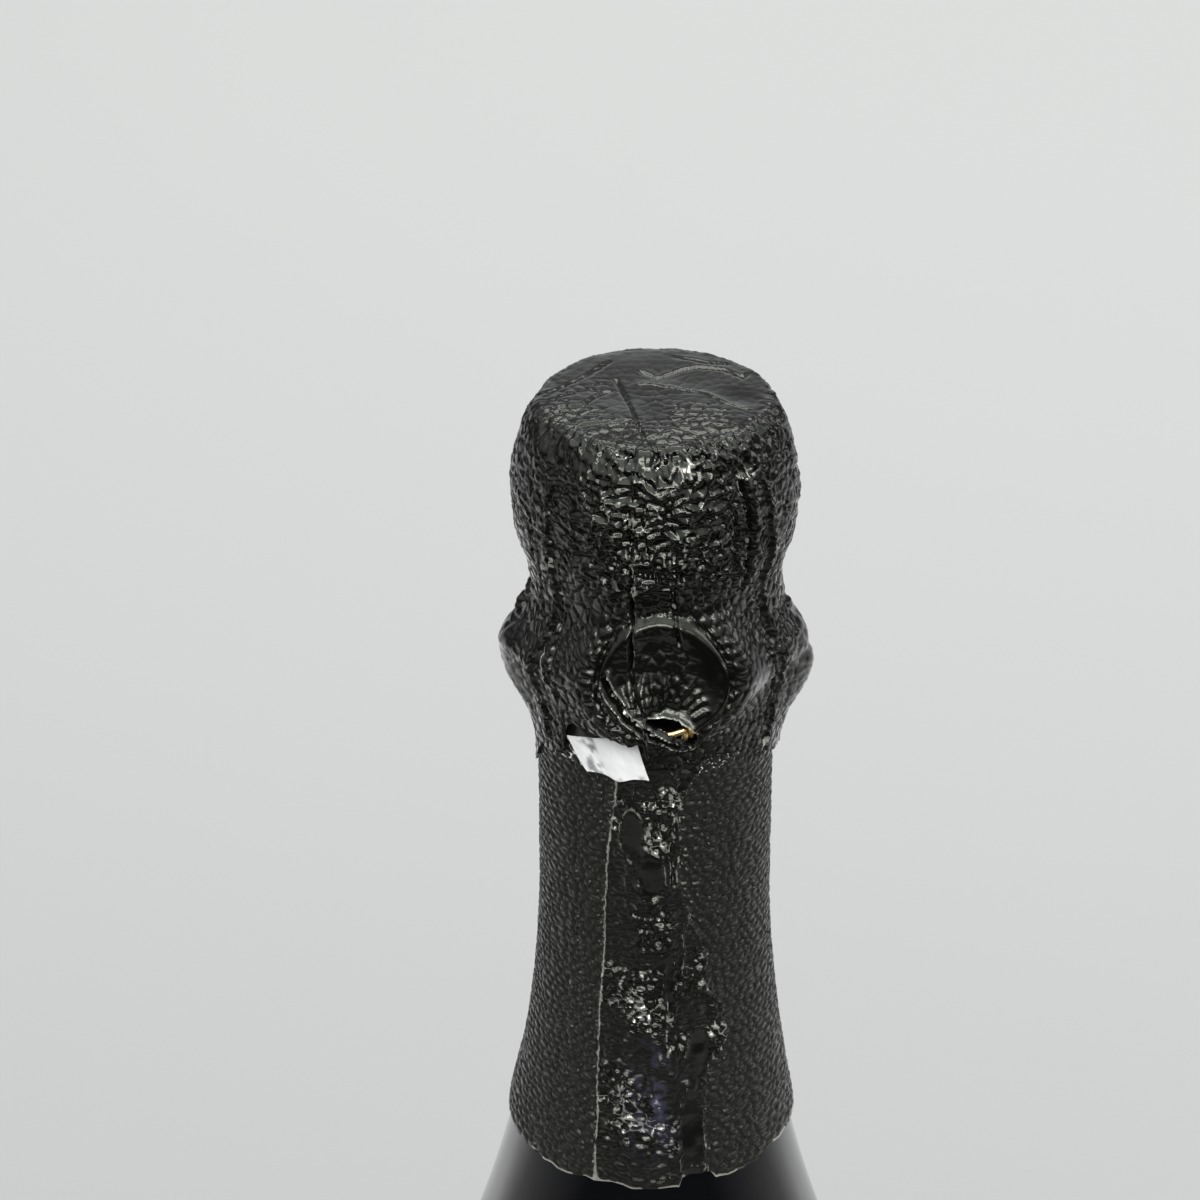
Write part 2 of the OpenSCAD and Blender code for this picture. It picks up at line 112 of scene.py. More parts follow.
def shards(u, v, seed, around):  # flat three-cornered facets between random heights, from 0 to 1
    x = u + 0.5 * v
    i, j = np.floor(x).astype(np.int64), np.floor(v).astype(np.int64)
    fx, fy = x - i, v - j

    def at(a, b):
        return chance((i + a) % around, j + b, seed)

    left, right = at(0, 1), at(1, 0)
    near = at(0, 0) * (1 - fx - fy) + right * fx + left * fy
    far = at(1, 1) * (fx + fy - 1) + left * (1 - fx) + right * (1 - fy)
    return np.where(fx + fy < 1, near, far)


def creases(u, v, seed, around):  # thin raised lines between grains
    first, second = grains(u, v, seed, around, 0.95, 0.1)[:2]
    return ramp(0.46, 0, second - first) ** 1.5


def toLine(u, v, points):  # distance to a line of points, side of it, and the share of its length
    best = np.full(u.shape, 1e9)
    side, along = np.zeros(u.shape), np.zeros(u.shape)
    lengths = [math.dist(points[k], points[k + 1]) for k in range(len(points) - 1)]
    total, run = sum(lengths), 0
    for k, long in enumerate(lengths):
        (ax, ay), (bx, by) = points[k], points[k + 1]
        t = np.clip(((u - ax) * (bx - ax) + (v - ay) * (by - ay)) / max(long * long, 1e-9), 0, 1)
        dx, dy = u - ax - t * (bx - ax), v - ay - t * (by - ay)
        d = np.hypot(dx, dy)
        nearer = d < best
        turn = np.sign((bx - ax) * dy - (by - ay) * dx)
        side = np.where(nearer, turn, side)
        along = np.where(nearer, (run + t * long) / total, along)
        best = np.minimum(best, d)
        run += long
    return best, side, along


def smoothPath(points, count):  # Catmull-Rom curve through a few points
    p = np.array(points, float)
    out = []
    for k in range(count + 1):
        u = k * (len(p) - 1) / count
        i = min(int(u), len(p) - 2)
        t = u - i
        a, b, c, d = p[max(i - 1, 0)], p[i], p[i + 1], p[min(i + 2, len(p) - 1)]
        out.append(0.5 * (2 * b + (c - a) * t + (2 * a - 5 * b + 4 * c - d) * t * t
                          + (3 * b - a - 3 * c + d) * t ** 3))
    return np.array(out)


# Mesh helpers

def makePiece(name, points, faces, materials, body, slot, nodes=(), faceSlots=None, sharp=None, fields=None):
    mesh = bpy.data.meshes.new(name)
    mesh.from_pydata((np.asarray(points) * mm).tolist(), [], [list(map(int, f)) for f in faces])
    for material in materials:
        mesh.materials.append(material)
    if faceSlots is not None:
        mesh.polygons.foreach_set("material_index", np.asarray(faceSlots, np.int32))
    mesh.polygons.foreach_set("use_smooth", np.ones(len(mesh.polygons), bool))
    if sharp:
        mesh.set_sharp_from_angle(angle=math.radians(sharp))
    for key, values in (fields or {}).items():
        layer = mesh.attributes.new(key, "FLOAT", "POINT")
        layer.data.foreach_set("value", np.asarray(values, np.float32))
    mesh.update()
    piece = bpy.data.objects.new(name, mesh)
    bpy.context.scene.collection.objects.link(piece)
    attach(piece, body)
    if nodes:
        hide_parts(*nodes)
    return piece


def lathe(name, profile, turns, *rest, **more):  # a closed half section turned about the axis
    p = np.array(profile, float)
    n = len(p)
    angles = np.linspace(0, 2 * np.pi, turns, endpoint=False)
    index, points = {}, []
    for k, (r, z) in enumerate(p):
        if r < 1e-6:
            index[k] = [len(points)] * turns
            points.append((0, 0, z))
        else:
            index[k] = list(range(len(points), len(points) + turns))
            points += [(r * math.sin(a), -r * math.cos(a), z) for a in angles]
    faces = []
    for k in range(n):
        m = (k + 1) % n
        if p[k][0] < 1e-6 and p[m][0] < 1e-6:
            continue
        for i in range(turns):
            j = (i + 1) % turns
            face = [index[k][i], index[k][j], index[m][j], index[m][i]]
            faces.append(list(dict.fromkeys(face)))
    area = sum(p[k][0] * p[(k + 1) % n][1] - p[(k + 1) % n][0] * p[k][1] for k in range(n))
    if area < 0:
        faces = [f[::-1] for f in faces]
    return makePiece(name, points, faces, *rest, **more)


def arc(x, z, r, start, end, count):
    angles = np.radians(np.linspace(start, end, count + 1))
    return [(x + r * math.cos(a), z + r * math.sin(a)) for a in angles]


def tube(points, radius, sides=12, closed=False):  # rings carried along a route without twisting
    p = np.array(points, float)
    n = len(p)
    if closed:
        ahead, behind = np.roll(p, -1, 0), np.roll(p, 1, 0)
    else:
        ahead, behind = np.vstack([p[1:], p[-1:]]), np.vstack([p[:1], p[:-1]])
    way = ahead - behind
    way /= np.linalg.norm(way, axis=1)[:, None]
    across = np.cross(way[0], (0, 0, 1) if abs(way[0][2]) < 0.9 else (1, 0, 0))
    rings = []
    for k in range(n):
        across = across - (across @ way[k]) * way[k]
        across /= np.linalg.norm(across)
        other = np.cross(way[k], across)
        rings += [p[k] + radius * (math.cos(t) * across + math.sin(t) * other)
                  for t in np.arange(sides) * 2 * np.pi / sides]
    faces = []
    for k in range(n if closed else n - 1):
        m = (k + 1) % n
        faces += [[k * sides + i, k * sides + (i + 1) % sides, m * sides + (i + 1) % sides, m * sides + i]
                  for i in range(sides)]
    if not closed:
        faces += [list(range(sides))[::-1], list(range((n - 1) * sides, n * sides))]
    return rings, faces


# Shader helpers

def newMaterial(name):
    material = bpy.data.materials.new(name)
    material.use_nodes = True
    nodes, links = material.node_tree.nodes, material.node_tree.links
    return material, nodes, links, nodes["Principled BSDF"]


def place(nodes, kind, **values):
    node = nodes.new(kind)
    for key, value in values.items():
        if key in node.inputs:
            node.inputs[key].default_value = value
        else:
            setattr(node, key, value)
    return node


def mathNode(tree, operation, a, b=0.0, clamp=False):
    node = tree.nodes.new("ShaderNodeMath")
    node.operation, node.use_clamp = operation, clamp
    for socket, value in zip(node.inputs, (a, b)):
        if isinstance(value, (int, float)):
            socket.default_value = value
        else:
            tree.links.new(value, socket)
    return node.outputs[0]


def newGroup(name, inputs, outputs):
    tree = bpy.data.node_groups.new(name, "ShaderNodeTree")
    for key, kind, value in inputs:
        socket = tree.interface.new_socket(name=key, in_out="INPUT", socket_type=kind)
        if value is not None:
            socket.default_value = value
    for key, kind in outputs:
        tree.interface.new_socket(name=key, in_out="OUTPUT", socket_type=kind)
    return tree, tree.nodes.new("NodeGroupInput"), tree.nodes.new("NodeGroupOutput")


floatKind, colourKind, vectorKind = "NodeSocketFloat", "NodeSocketColor", "NodeSocketVector"


def fineGrain():  # small uneven grain: a height for bump and a mask of scattered specks
    tree, given, put = newGroup(
        "fineGrain",
        [("Scale", floatKind, 900.0), ("Specks", floatKind, 0.6)],
        [("Height", floatKind), ("Mask", floatKind)],
    )
    spot = tree.nodes.new("ShaderNodeTexCoord")
    noise = place(tree.nodes, "ShaderNodeTexNoise", Detail=4.0, Roughness=0.6)
    tree.links.new(spot.outputs["Object"], noise.inputs["Vector"])
    tree.links.new(given.outputs["Scale"], noise.inputs["Scale"])
    tree.links.new(noise.outputs["Fac"], put.inputs["Height"])
    coarse = place(tree.nodes, "ShaderNodeTexNoise", Detail=2.0, Roughness=0.5)
    tree.links.new(spot.outputs["Object"], coarse.inputs["Vector"])
    tree.links.new(mathNode(tree, "MULTIPLY", given.outputs["Scale"], 1.7), coarse.inputs["Scale"])
    over = mathNode(tree, "SUBTRACT", coarse.outputs["Fac"], given.outputs["Specks"])
    tree.links.new(mathNode(tree, "MULTIPLY", over, 9.0, True), put.inputs["Mask"])
    return tree


def mottle():  # blends two colours by soft noise
    tree, given, put = newGroup(
        "mottle",
        [("Scale", floatKind, 60.0), ("Light", colourKind, (1, 1, 1, 1)), ("Dark", colourKind, (0, 0, 0, 1)),
         ("Low", floatKind, 0.4), ("High", floatKind, 0.6)],
        [("Color", colourKind), ("Mask", floatKind)],
    )
    spot = tree.nodes.new("ShaderNodeTexCoord")
    noise = place(tree.nodes, "ShaderNodeTexNoise", Detail=5.0, Roughness=0.6)
    tree.links.new(spot.outputs["Object"], noise.inputs["Vector"])
    tree.links.new(given.outputs["Scale"], noise.inputs["Scale"])
    span = tree.nodes.new("ShaderNodeMapRange")
    tree.links.new(noise.outputs["Fac"], span.inputs["Value"])
    tree.links.new(given.outputs["Low"], span.inputs["From Min"])
    tree.links.new(given.outputs["High"], span.inputs["From Max"])
    mix = tree.nodes.new("ShaderNodeMix")
    mix.data_type = "RGBA"
    tree.links.new(span.outputs["Result"], mix.inputs[0])
    tree.links.new(given.outputs["Dark"], mix.inputs[6])
    tree.links.new(given.outputs["Light"], mix.inputs[7])
    tree.links.new(mix.outputs[2], put.inputs["Color"])
    tree.links.new(span.outputs["Result"], put.inputs["Mask"])
    return tree


grainGroup, mottleGroup = fineGrain(), mottle()


def useGroup(nodes, group, **values):
    node = nodes.new("ShaderNodeGroup")
    node.node_tree = group
    for key, value in values.items():
        node.inputs[key].default_value = value
    return node


def bump(nodes, links, height, strength, distance, into):
    node = place(nodes, "ShaderNodeBump", Strength=strength, Distance=distance)
    links.new(height, node.inputs["Height"])
    links.new(node.outputs["Normal"], into.inputs["Normal"])
    return node


# Finishes

foilLook = {
    "lacquer": (0.0100, 0.0105, 0.0085, 1),
    "deep": (0.0015, 0.0015, 0.0013, 1),
    # bare metal; also the colour of the painted glints and highlight lines
    "bareAndGlint": (0.45, 0.44, 0.40, 1),
    "violet": (0.046, 0.043, 0.078, 1),
    "matt": 0.3,
    "glossy": 0.1,
}


def blackFoil():  # black lacquer on aluminium; wear (bare metal, and also painted glints and highlight lines on ridges), shine and violet are fields on the mesh
    material, nodes, links, shader = newMaterial("blackFoil")
    shader.inputs["IOR"].default_value = 1.5
    shader.inputs["Specular Tint"].default_value = (0.97, 1.0, 0.88, 1)
    grain = useGroup(nodes, grainGroup, Scale=2600.0, Specks=0.62)
    wearAndGlints = place(nodes, "ShaderNodeAttribute", attribute_name="wearAndGlints")
    shine = place(nodes, "ShaderNodeAttribute", attribute_name="shine")
    violet = place(nodes, "ShaderNodeAttribute", attribute_name="violet")
    tree = material.node_tree
    broken = mathNode(tree, "MULTIPLY", wearAndGlints.outputs["Fac"], mathNode(tree, "ADD", grain.outputs["Height"], 0.55))
    worn = mathNode(tree, "MULTIPLY", mathNode(tree, "SUBTRACT", broken, 0.42), 3.2, True)
    tinted = place(nodes, "ShaderNodeMix", data_type="RGBA")
    links.new(violet.outputs["Fac"], tinted.inputs[0])
    black = place(nodes, "ShaderNodeMix", data_type="RGBA")
    links.new(shine.outputs["Fac"], black.inputs[0])
    black.inputs[6].default_value = foilLook["lacquer"]
    black.inputs[7].default_value = foilLook["deep"]
    links.new(black.outputs[2], tinted.inputs[6])
    tinted.inputs[7].default_value = foilLook["violet"]
    colour = place(nodes, "ShaderNodeMix", data_type="RGBA")
    links.new(worn, colour.inputs[0])
    links.new(tinted.outputs[2], colour.inputs[6])
    colour.inputs[7].default_value = foilLook["bareAndGlint"]
    links.new(colour.outputs[2], shader.inputs["Base Color"])
    links.new(mathNode(tree, "MULTIPLY", worn, 0.6), shader.inputs["Metallic"])
    span = place(nodes, "ShaderNodeMapRange")
    span.inputs["To Min"].default_value, span.inputs["To Max"].default_value = foilLook["matt"], foilLook["glossy"]
    links.new(shine.outputs["Fac"], span.inputs["Value"])
    links.new(span.outputs["Result"], shader.inputs["Roughness"])
    bump(nodes, links, grain.outputs["Height"], 0.5, 0.00005, shader)
    return material


def bareFoil():  # the aluminium inside of the foil
    material, nodes, links, shader = newMaterial("bareFoil")
    shader.inputs["Metallic"].default_value = 0.9
    shader.inputs["Roughness"].default_value = 0.42
    tone = useGroup(nodes, mottleGroup, Scale=90.0, Light=(0.62, 0.62, 0.60, 1), Dark=(0.47, 0.47, 0.46, 1))
    links.new(tone.outputs["Color"], shader.inputs["Base Color"])
    return material


def darkGlass():
    material, nodes, links, shader = newMaterial("darkGlass")
    shader.inputs["Base Color"].default_value = (0.0040, 0.0043, 0.0052, 1)
    shader.inputs["Roughness"].default_value = 0.04
    shader.inputs["IOR"].default_value = 1.52
    shader.inputs["Specular IOR Level"].default_value = 0.3
    wave = useGroup(nodes, grainGroup, Scale=26.0, Specks=0.7)
    bump(nodes, links, wave.outputs["Height"], 0.10, 0.0006, shader)
    return material


def groundCork():
    material, nodes, links, shader = newMaterial("groundCork")
    spot = place(nodes, "ShaderNodeTexCoord")
    grain = place(nodes, "ShaderNodeTexVoronoi", Scale=620.0, Randomness=1.0)
    links.new(spot.outputs["Object"], grain.inputs["Vector"])
    tones = place(nodes, "ShaderNodeValToRGB")
    tones.color_ramp.elements[0].color = (0.42, 0.27, 0.15, 1)
    tones.color_ramp.elements[1].color = (0.78, 0.59, 0.38, 1)
    middle = tones.color_ramp.elements.new(0.45)
    middle.color = (0.66, 0.47, 0.28, 1)
    links.new(grain.outputs["Color"], tones.inputs["Fac"])
    links.new(tones.outputs["Color"], shader.inputs["Base Color"])
    shader.inputs["Roughness"].default_value = 0.78
    bump(nodes, links, grain.outputs["Distance"], 0.5, 0.0004, shader)
    return material


def naturalCork():
    material, nodes, links, shader = newMaterial("naturalCork")
    tone = useGroup(nodes, mottleGroup, Scale=170.0, Light=(0.80, 0.61, 0.40, 1), Dark=(0.55, 0.37, 0.21, 1),
                    Low=0.34, High=0.62)
    grain = useGroup(nodes, grainGroup, Scale=700.0, Specks=0.6)
    links.new(tone.outputs["Color"], shader.inputs["Base Color"])
    shader.inputs["Roughness"].default_value = 0.8
    bump(nodes, links, grain.outputs["Height"], 0.5, 0.0003, shader)
    return material


def pressedTin():
    material, nodes, links, shader = newMaterial("pressedTin")
    tone = useGroup(nodes, mottleGroup, Scale=110.0, Light=(0.78, 0.77, 0.73, 1), Dark=(0.66, 0.65, 0.61, 1))
    grain = useGroup(nodes, grainGroup, Scale=1500.0, Specks=0.6)
    links.new(tone.outputs["Color"], shader.inputs["Base Color"])
    shader.inputs["Metallic"].default_value = 1.0
    shader.inputs["Roughness"].default_value = 0.3
    bump(nodes, links, grain.outputs["Height"], 0.15, 0.0001, shader)
    return material


def goldWire():
    material, nodes, links, shader = newMaterial("goldWire")
    tone = useGroup(nodes, mottleGroup, Scale=400.0, Light=(0.86, 0.66, 0.30, 1), Dark=(0.66, 0.47, 0.17, 1))
    grain = useGroup(nodes, grainGroup, Scale=3000.0, Specks=0.6)
    links.new(tone.outputs["Color"], shader.inputs["Base Color"])
    shader.inputs["Metallic"].default_value = 1.0
    shader.inputs["Roughness"].default_value = 0.26
    bump(nodes, links, grain.outputs["Height"], 0.12, 0.00005, shader)
    return material


def whiteRibbon():  # pale foil paper; smudge is a field on the mesh
    material, nodes, links, shader = newMaterial("whiteRibbon")
    smudge = place(nodes, "ShaderNodeAttribute", attribute_name="smudge")
    grain = useGroup(nodes, grainGroup, Scale=1900.0, Specks=0.5)
    tree = material.node_tree
    dark = mathNode(tree, "MULTIPLY", smudge.outputs["Fac"],
                    mathNode(tree, "ADD", grain.outputs["Height"], 0.5), True)
    colour = place(nodes, "ShaderNodeMix", data_type="RGBA")
    links.new(dark, colour.inputs[0])
    colour.inputs[6].default_value = (0.86, 0.87, 0.86, 1)
    colour.inputs[7].default_value = (0.10, 0.10, 0.105, 1)
    links.new(colour.outputs[2], shader.inputs["Base Color"])
    shader.inputs["Roughness"].default_value = 0.4
    bump(nodes, links, grain.outputs["Height"], 0.2, 0.00008, shader)
    return material


foil, foilInside, glass = blackFoil(), bareFoil(), darkGlass()
corkGround, corkNatural, tin = groundCork(), naturalCork(), pressedTin()
wireGold, ribbonWhite = goldWire(), whiteRibbon()
print("finishes ready")


# Bottle

bottleShape = {
    "height": 300, "bodyR": 44, "neckR": 14.1, "neckLength": 45.5, "flareR": 180, "shoulderR": 74.5,
    "wall": 4.9, "heelR": 8, "puntR": 29, "puntH": 30, "puntPower": 2.2, "floorZ": 8, "floorCorner": 5.5,
    "boreR": 8.9, "lipR": 13.3, "lipH": 6, "collarR": 15.6, "collarH": 4, "collarDrop": 10.5,
    "grooveR": 13.5, "grooveH": 4.3, "edgeR": 1.2, "corkIn": 24,
}
b = bottleShape
neckZ = b["height"] - b["neckLength"]
shoulderA = math.degrees(math.acos(1 - (b["bodyR"] - b["neckR"]) / (b["flareR"] + b["shoulderR"])))
bodyZ = neckZ - (b["flareR"] + b["shoulderR"]) * math.sin(math.radians(shoulderA))
collarZ = b["height"] - b["collarDrop"]
grooveZ = collarZ - b["collarH"] / 2
corkFoot = b["height"] - b["corkIn"]


def neckRadius(z):  # outside of the glass between shoulder and collar
    below = np.clip(neckZ - z, 0, None)
    return b["neckR"] + b["flareR"] - np.sqrt(b["flareR"] ** 2 - below ** 2)


def glassProfile():
    top, foot, e = b["height"], corkFoot - 2, b["edgeR"]
    floorR = b["bodyR"] - b["wall"] - b["floorCorner"]
    rise = b["puntH"] + b["wall"] - b["floorZ"]
    punt = [(b["puntR"] * i / 30, b["puntH"] * (1 - (i / 30) ** b["puntPower"])) for i in range(31)]
    floor = [(floorR * i / 30, b["floorZ"] + rise * (1 - (i / 30) ** b["puntPower"])) for i in range(30, -1, -1)]
    return (
        punt + [(b["puntR"] + 1, 0)]
        + arc(b["bodyR"] - b["heelR"], b["heelR"], b["heelR"], -90, 0, 20)
        + [(b["bodyR"], z) for z in np.linspace(15, bodyZ - 5, 12)]
        + arc(b["bodyR"] - b["shoulderR"], bodyZ, b["shoulderR"], 0, shoulderA, 48)
        + arc(b["neckR"] + b["flareR"], neckZ, b["flareR"], 180 + shoulderA - 0.7, 180, 56)
        + [(b["neckR"], grooveZ - b["grooveH"] - 1.5), (b["neckR"] - 0.15, grooveZ - b["grooveH"] - 0.6),
           (b["grooveR"], grooveZ - b["grooveH"] + 0.5), (b["grooveR"], grooveZ - 0.3),
           (b["grooveR"] + 0.4, grooveZ)]
        + arc(b["collarR"] - e, grooveZ + e, e, -90, 0, 8)
        + arc(b["collarR"] - e, grooveZ + b["collarH"] - e, e, 0, 90, 8)
        + [(b["lipR"] - 0.6, grooveZ + b["collarH"] + 0.25), (b["lipR"] - 0.9, grooveZ + b["collarH"] + 0.8),
           (b["lipR"] - 0.9, top - b["lipH"] - 0.8), (b["lipR"] - 0.5, top - b["lipH"])]
        + arc(b["lipR"] - e, top - b["lipH"] + e, e, -70, 0, 6)
        + arc(b["lipR"] - 1.5 * e, top - 1.5 * e, 1.5 * e, 0, 90, 10)
        + arc(b["boreR"] + 0.8, top - 0.8, 0.8, 90, 180, 6)
        + [(b["boreR"], foot), (b["neckR"] - b["wall"], foot - 7)]
        + arc(b["neckR"] + b["flareR"], neckZ, b["flareR"] + b["wall"], 180, 180 + shoulderA - 0.7, 40)
        + arc(b["bodyR"] - b["shoulderR"], bodyZ, b["shoulderR"] - b["wall"], shoulderA, 0, 36)
        + arc(floorR, b["floorZ"] + b["floorCorner"], b["floorCorner"], 0, -90, 10)[:-1]
        + floor
    )


lathe("bottleGlass", glassProfile(), 180, [glass], "bottle", "dark_glass", ["bottle_glass"], sharp=40)
print("glass turned")


# Cork with its two discs, and the metal cap on it

corkShape = {"headR": 15.25, "headH": 17.95, "headCurve": 27, "headMid": 308.2, "disc": 6, "gap": 0.05}
capShape = {"r": 13.4, "domeR": 11.5, "domeH": 1, "skirt": 1.6, "sheet": 0.3, "edge": 0.6, "lip": 0.45}
c, p = corkShape, capShape
corkTop = b["height"] + c["headH"]
stemR = b["boreR"] - c["gap"]
capZ = corkTop + 0.05 + p["sheet"]


def headRadius(z):
    return c["headR"] - c["headCurve"] + math.sqrt(c["headCurve"] ** 2 - (z - c["headMid"]) ** 2)


def corkProfile():
    start, under, e = corkFoot + 2 * c["disc"], b["height"] + 0.05, b["edgeR"]
    skirt, shoulder = p["r"] - p["sheet"] - 0.15, capZ - p["skirt"] - 0.15
    low = math.degrees(math.asin((under + e - c["headMid"]) / c["headCurve"]))
    high = math.degrees(math.asin((shoulder - 0.9 - c["headMid"]) / c["headCurve"]))
    x = c["headR"] - c["headCurve"]
    return (
        [(0, start), (stemR, start), (stemR, under)]
        + arc(x + c["headCurve"] * math.cos(math.radians(low)) - e, under + e, e, -90, low, 8)
        + arc(x, c["headMid"], c["headCurve"], low, high, 30)[1:]
        + [(skirt, shoulder), (skirt, corkTop), (0, corkTop)]
    )


lathe("corkBody", corkProfile(), 96, [corkGround], "cork", "cork_agglomerate", ["cork_body"], sharp=40)
for name, node, z, bevel in (("corkDiscUpper", "cork_disc_upper", corkFoot + c["disc"], 0.02),
                             ("corkDiscLower", "cork_disc_lower", corkFoot, 0.6)):
    lathe(name, [(0, z), (stemR - bevel, z), (stemR, z + bevel), (stemR, z + c["disc"]), (0, z + c["disc"])],
          96, [corkNatural], "cork", "cork_natural", [node], sharp=30)


def capProfile():
    d, top, t = p["domeR"], capZ + p["domeH"], p["sheet"]
    bend = p["r"] - p["edge"]
    upper = [(0, top), (d - 0.9, top), (d - 0.55, top - 0.04), (d - 0.2, top - 0.22), (d + 0.05, top - 0.5),
             (d + 0.25, capZ + 0.2), (d + p["lip"], capZ), (bend, capZ)]
    lower = [(bend, capZ - t), (d + p["lip"] - 0.05, capZ - t), (d - 0.05, capZ), (d - 0.45, top - t - 0.1),
             (d - 0.8, top - t), (0, top - t)]
    return (upper + arc(bend, capZ - p["edge"], p["edge"], 75, 0, 8)
            + [(p["r"], capZ - p["skirt"]), (p["r"] - t, capZ - p["skirt"])]
            + arc(bend, capZ - p["edge"], p["edge"] - t, 0, 75, 6) + lower)


lathe("capTin", capProfile(), 120, [tin], "cage", "cap_tinplate", ["cage_plaque"], sharp=50)
print("cork and cap turned")


# Wire cage and pull ring

cageShape = {
    "wireR": 0.425, "pitch": 5.6, "eyeR": 1.75, "legs": (-6, 90, 180, 270), "seat": 0.1, "flat": 3.4,
    "stemAngle": 13, "loopR": 6.75, "loopZ": 291, "loopX": 0.6, "lean": 13, "bow": 0.7, "gate": -62,
}
w = cageShape
strandR = w["wireR"] + 0.015
pairR = strandR + w["wireR"]
stand = pairR + w["seat"]
topRingR = p["domeR"] + p["lip"] + w["wireR"] + 0.05
topRingZ = capZ + w["wireR"] + 0.05
eyeZ = grooveZ - w["eyeR"] - w["wireR"] - 0.1
eyeMidR = b["grooveR"] + 0.7 + w["wireR"] + w["eyeR"]
beltR = eyeMidR - w["eyeR"] + 2 * w["wireR"] + 0.05
eyeGap = math.degrees(math.asin(strandR / w["eyeR"]))
loopFootY = -(eyeMidR + w["eyeR"] + 2 * w["wireR"] + w["seat"])

legPoints = [
    (topRingR + w["wireR"] + 0.05, topRingZ), (p["r"] + 0.35, topRingZ + 0.04),
    (p["r"] + 0.95, topRingZ - 0.8), (p["r"] + 1.3, topRingZ - 2),
    *[(headRadius(b["height"] + h) + stand, b["height"] + h) for h in (15.2, 12.2, 8.4, 4.8, 2)],
    (b["lipR"] + stand + 0.45, b["height"] - 0.4), (b["lipR"] + stand + 0.02, b["height"] - 2.9),
    (b["lipR"] + stand + 0.25, b["height"] - 5.4),
    (b["collarR"] + stand - 0.75, collarZ + b["collarH"] / 2 + 0.7),
    (b["collarR"] + stand, collarZ + 0.6), (b["collarR"] + stand, collarZ - 0.9),
    (eyeMidR, eyeZ + w["eyeR"] * math.cos(math.radians(eyeGap))),
]


def strand(route, across, free, turnEnd, side):  # one of two wires twisted about a route
    route, across = np.array(route, float), np.array(across, float)
    way = np.gradient(route, axis=0)
    way /= np.linalg.norm(way, axis=1)[:, None]
    s = np.concatenate([[0], np.cumsum(np.linalg.norm(np.diff(route, axis=0), axis=1))])
    turns = round((s[-1] - free) / w["pitch"] * 2) / 2
    a = np.radians(np.clip((s - free) / (s[-1] - free), 0, None) * (turns * 360 + turnEnd))
    n = np.cross(across, way)
    n /= np.linalg.norm(n, axis=1)[:, None]
    return route + side * strandR * (np.cos(a)[:, None] * across + np.sin(a)[:, None] * n)


def spun(points, degrees):
    t = math.radians(degrees)
    turn = np.array([[math.cos(t), -math.sin(t), 0], [math.sin(t), math.cos(t), 0], [0, 0, 1]])
    return np.asarray(points, float) @ turn.T


legRoute = [(x, 0, z) for x, z in smoothPath(legPoints, 110)]
eyeTurn = np.radians(np.linspace(90 + eyeGap, 450 - eyeGap, 31)[1:-1])
eyeLoop = np.stack([eyeMidR + w["eyeR"] * np.cos(eyeTurn), 0 * eyeTurn, eyeZ + w["eyeR"] * np.sin(eyeTurn)], 1)
strands = sorted((strand(legRoute, (0, 1, 0), w["flat"], 90, side) for side in (1, -1)), key=lambda s: s[-1][0])
legWire = np.concatenate([strands[0], eyeLoop, strands[1][::-1]])
for name, angle in zip(("Front", "Right", "Back", "Left"), w["legs"]):
    points, faces = tube(spun(legWire, angle - 90), w["wireR"])
    makePiece("cageLeg" + name, points, faces, [wireGold], "cage", "cage_wire",
              ["cage_leg_" + name.lower()], sharp=60)


def loopAt(degrees):
    a, lean = math.radians(degrees), math.radians(w["lean"])
    up = w["loopR"] * (1 + math.sin(a))
    return np.array([w["loopX"] + w["loopR"] * math.cos(a),
                     loopFootY + up * math.sin(lean) + w["bow"] * math.cos(a) ** 2,
                     w["loopZ"] - w["loopR"] + up * math.cos(lean)])


gate = loopAt(w["gate"])
pivot = gate + (0.1, 0.35, -1.35)
ringStem = smoothPath([pivot, (pivot + gate) / 2 + (0.15, -0.1, 0), gate], 10)
across = loopAt(w["gate"] + 6) - loopAt(w["gate"] - 6)
across /= np.linalg.norm(across)
gap = math.degrees(math.asin(strandR / w["loopR"])) * 2.2
ringWire = np.concatenate([ringStem + across * strandR,
                           [loopAt(a) for a in np.linspace(w["gate"] + gap, w["gate"] + 360 - gap, 90)],
                           (ringStem - across * strandR)[::-1]])
points, faces = tube(ringWire, w["wireR"])
makePiece("pullRing", points, faces, [wireGold], "ring", "cage_wire", ["pull_ring"], sharp=60)

beltStem = smoothPath([spun([0, -beltR - 0.9, eyeZ - 0.1], w["stemAngle"]),
                       spun([0, -beltR - 1.9, eyeZ - 0.75], w["stemAngle"]),
                       pivot + (0, w["wireR"] + 2.6 * w["seat"], 0.1)], 20)
side = spun([1, 0, 0], w["stemAngle"])
beltRound = [spun([0, -beltR, eyeZ], a) for a in np.linspace(w["stemAngle"] + 5, w["stemAngle"] + 355, 140)]
beltWire = np.concatenate([strand(beltStem, side, 0.6, 0, 1)[::-1], beltRound, strand(beltStem, side, 0.6, 0, -1)])
points, faces = tube(beltWire, w["wireR"])
makePiece("cageBelt", points, faces, [wireGold], "cage", "cage_wire", ["cage_belt"], sharp=60)
topRing = [(topRingR * math.sin(a), -topRingR * math.cos(a), topRingZ)
           for a in np.linspace(0, 2 * np.pi, 120, endpoint=False)]
points, faces = tube(topRing, w["wireR"], closed=True)
makePiece("cageTopRing", points, faces, [wireGold], "cage", "cage_wire", ["cage_top_ring"])
print("cage bent")


# Foil hood: rows run from the crown's middle to the rim, columns turn from the front towards the right

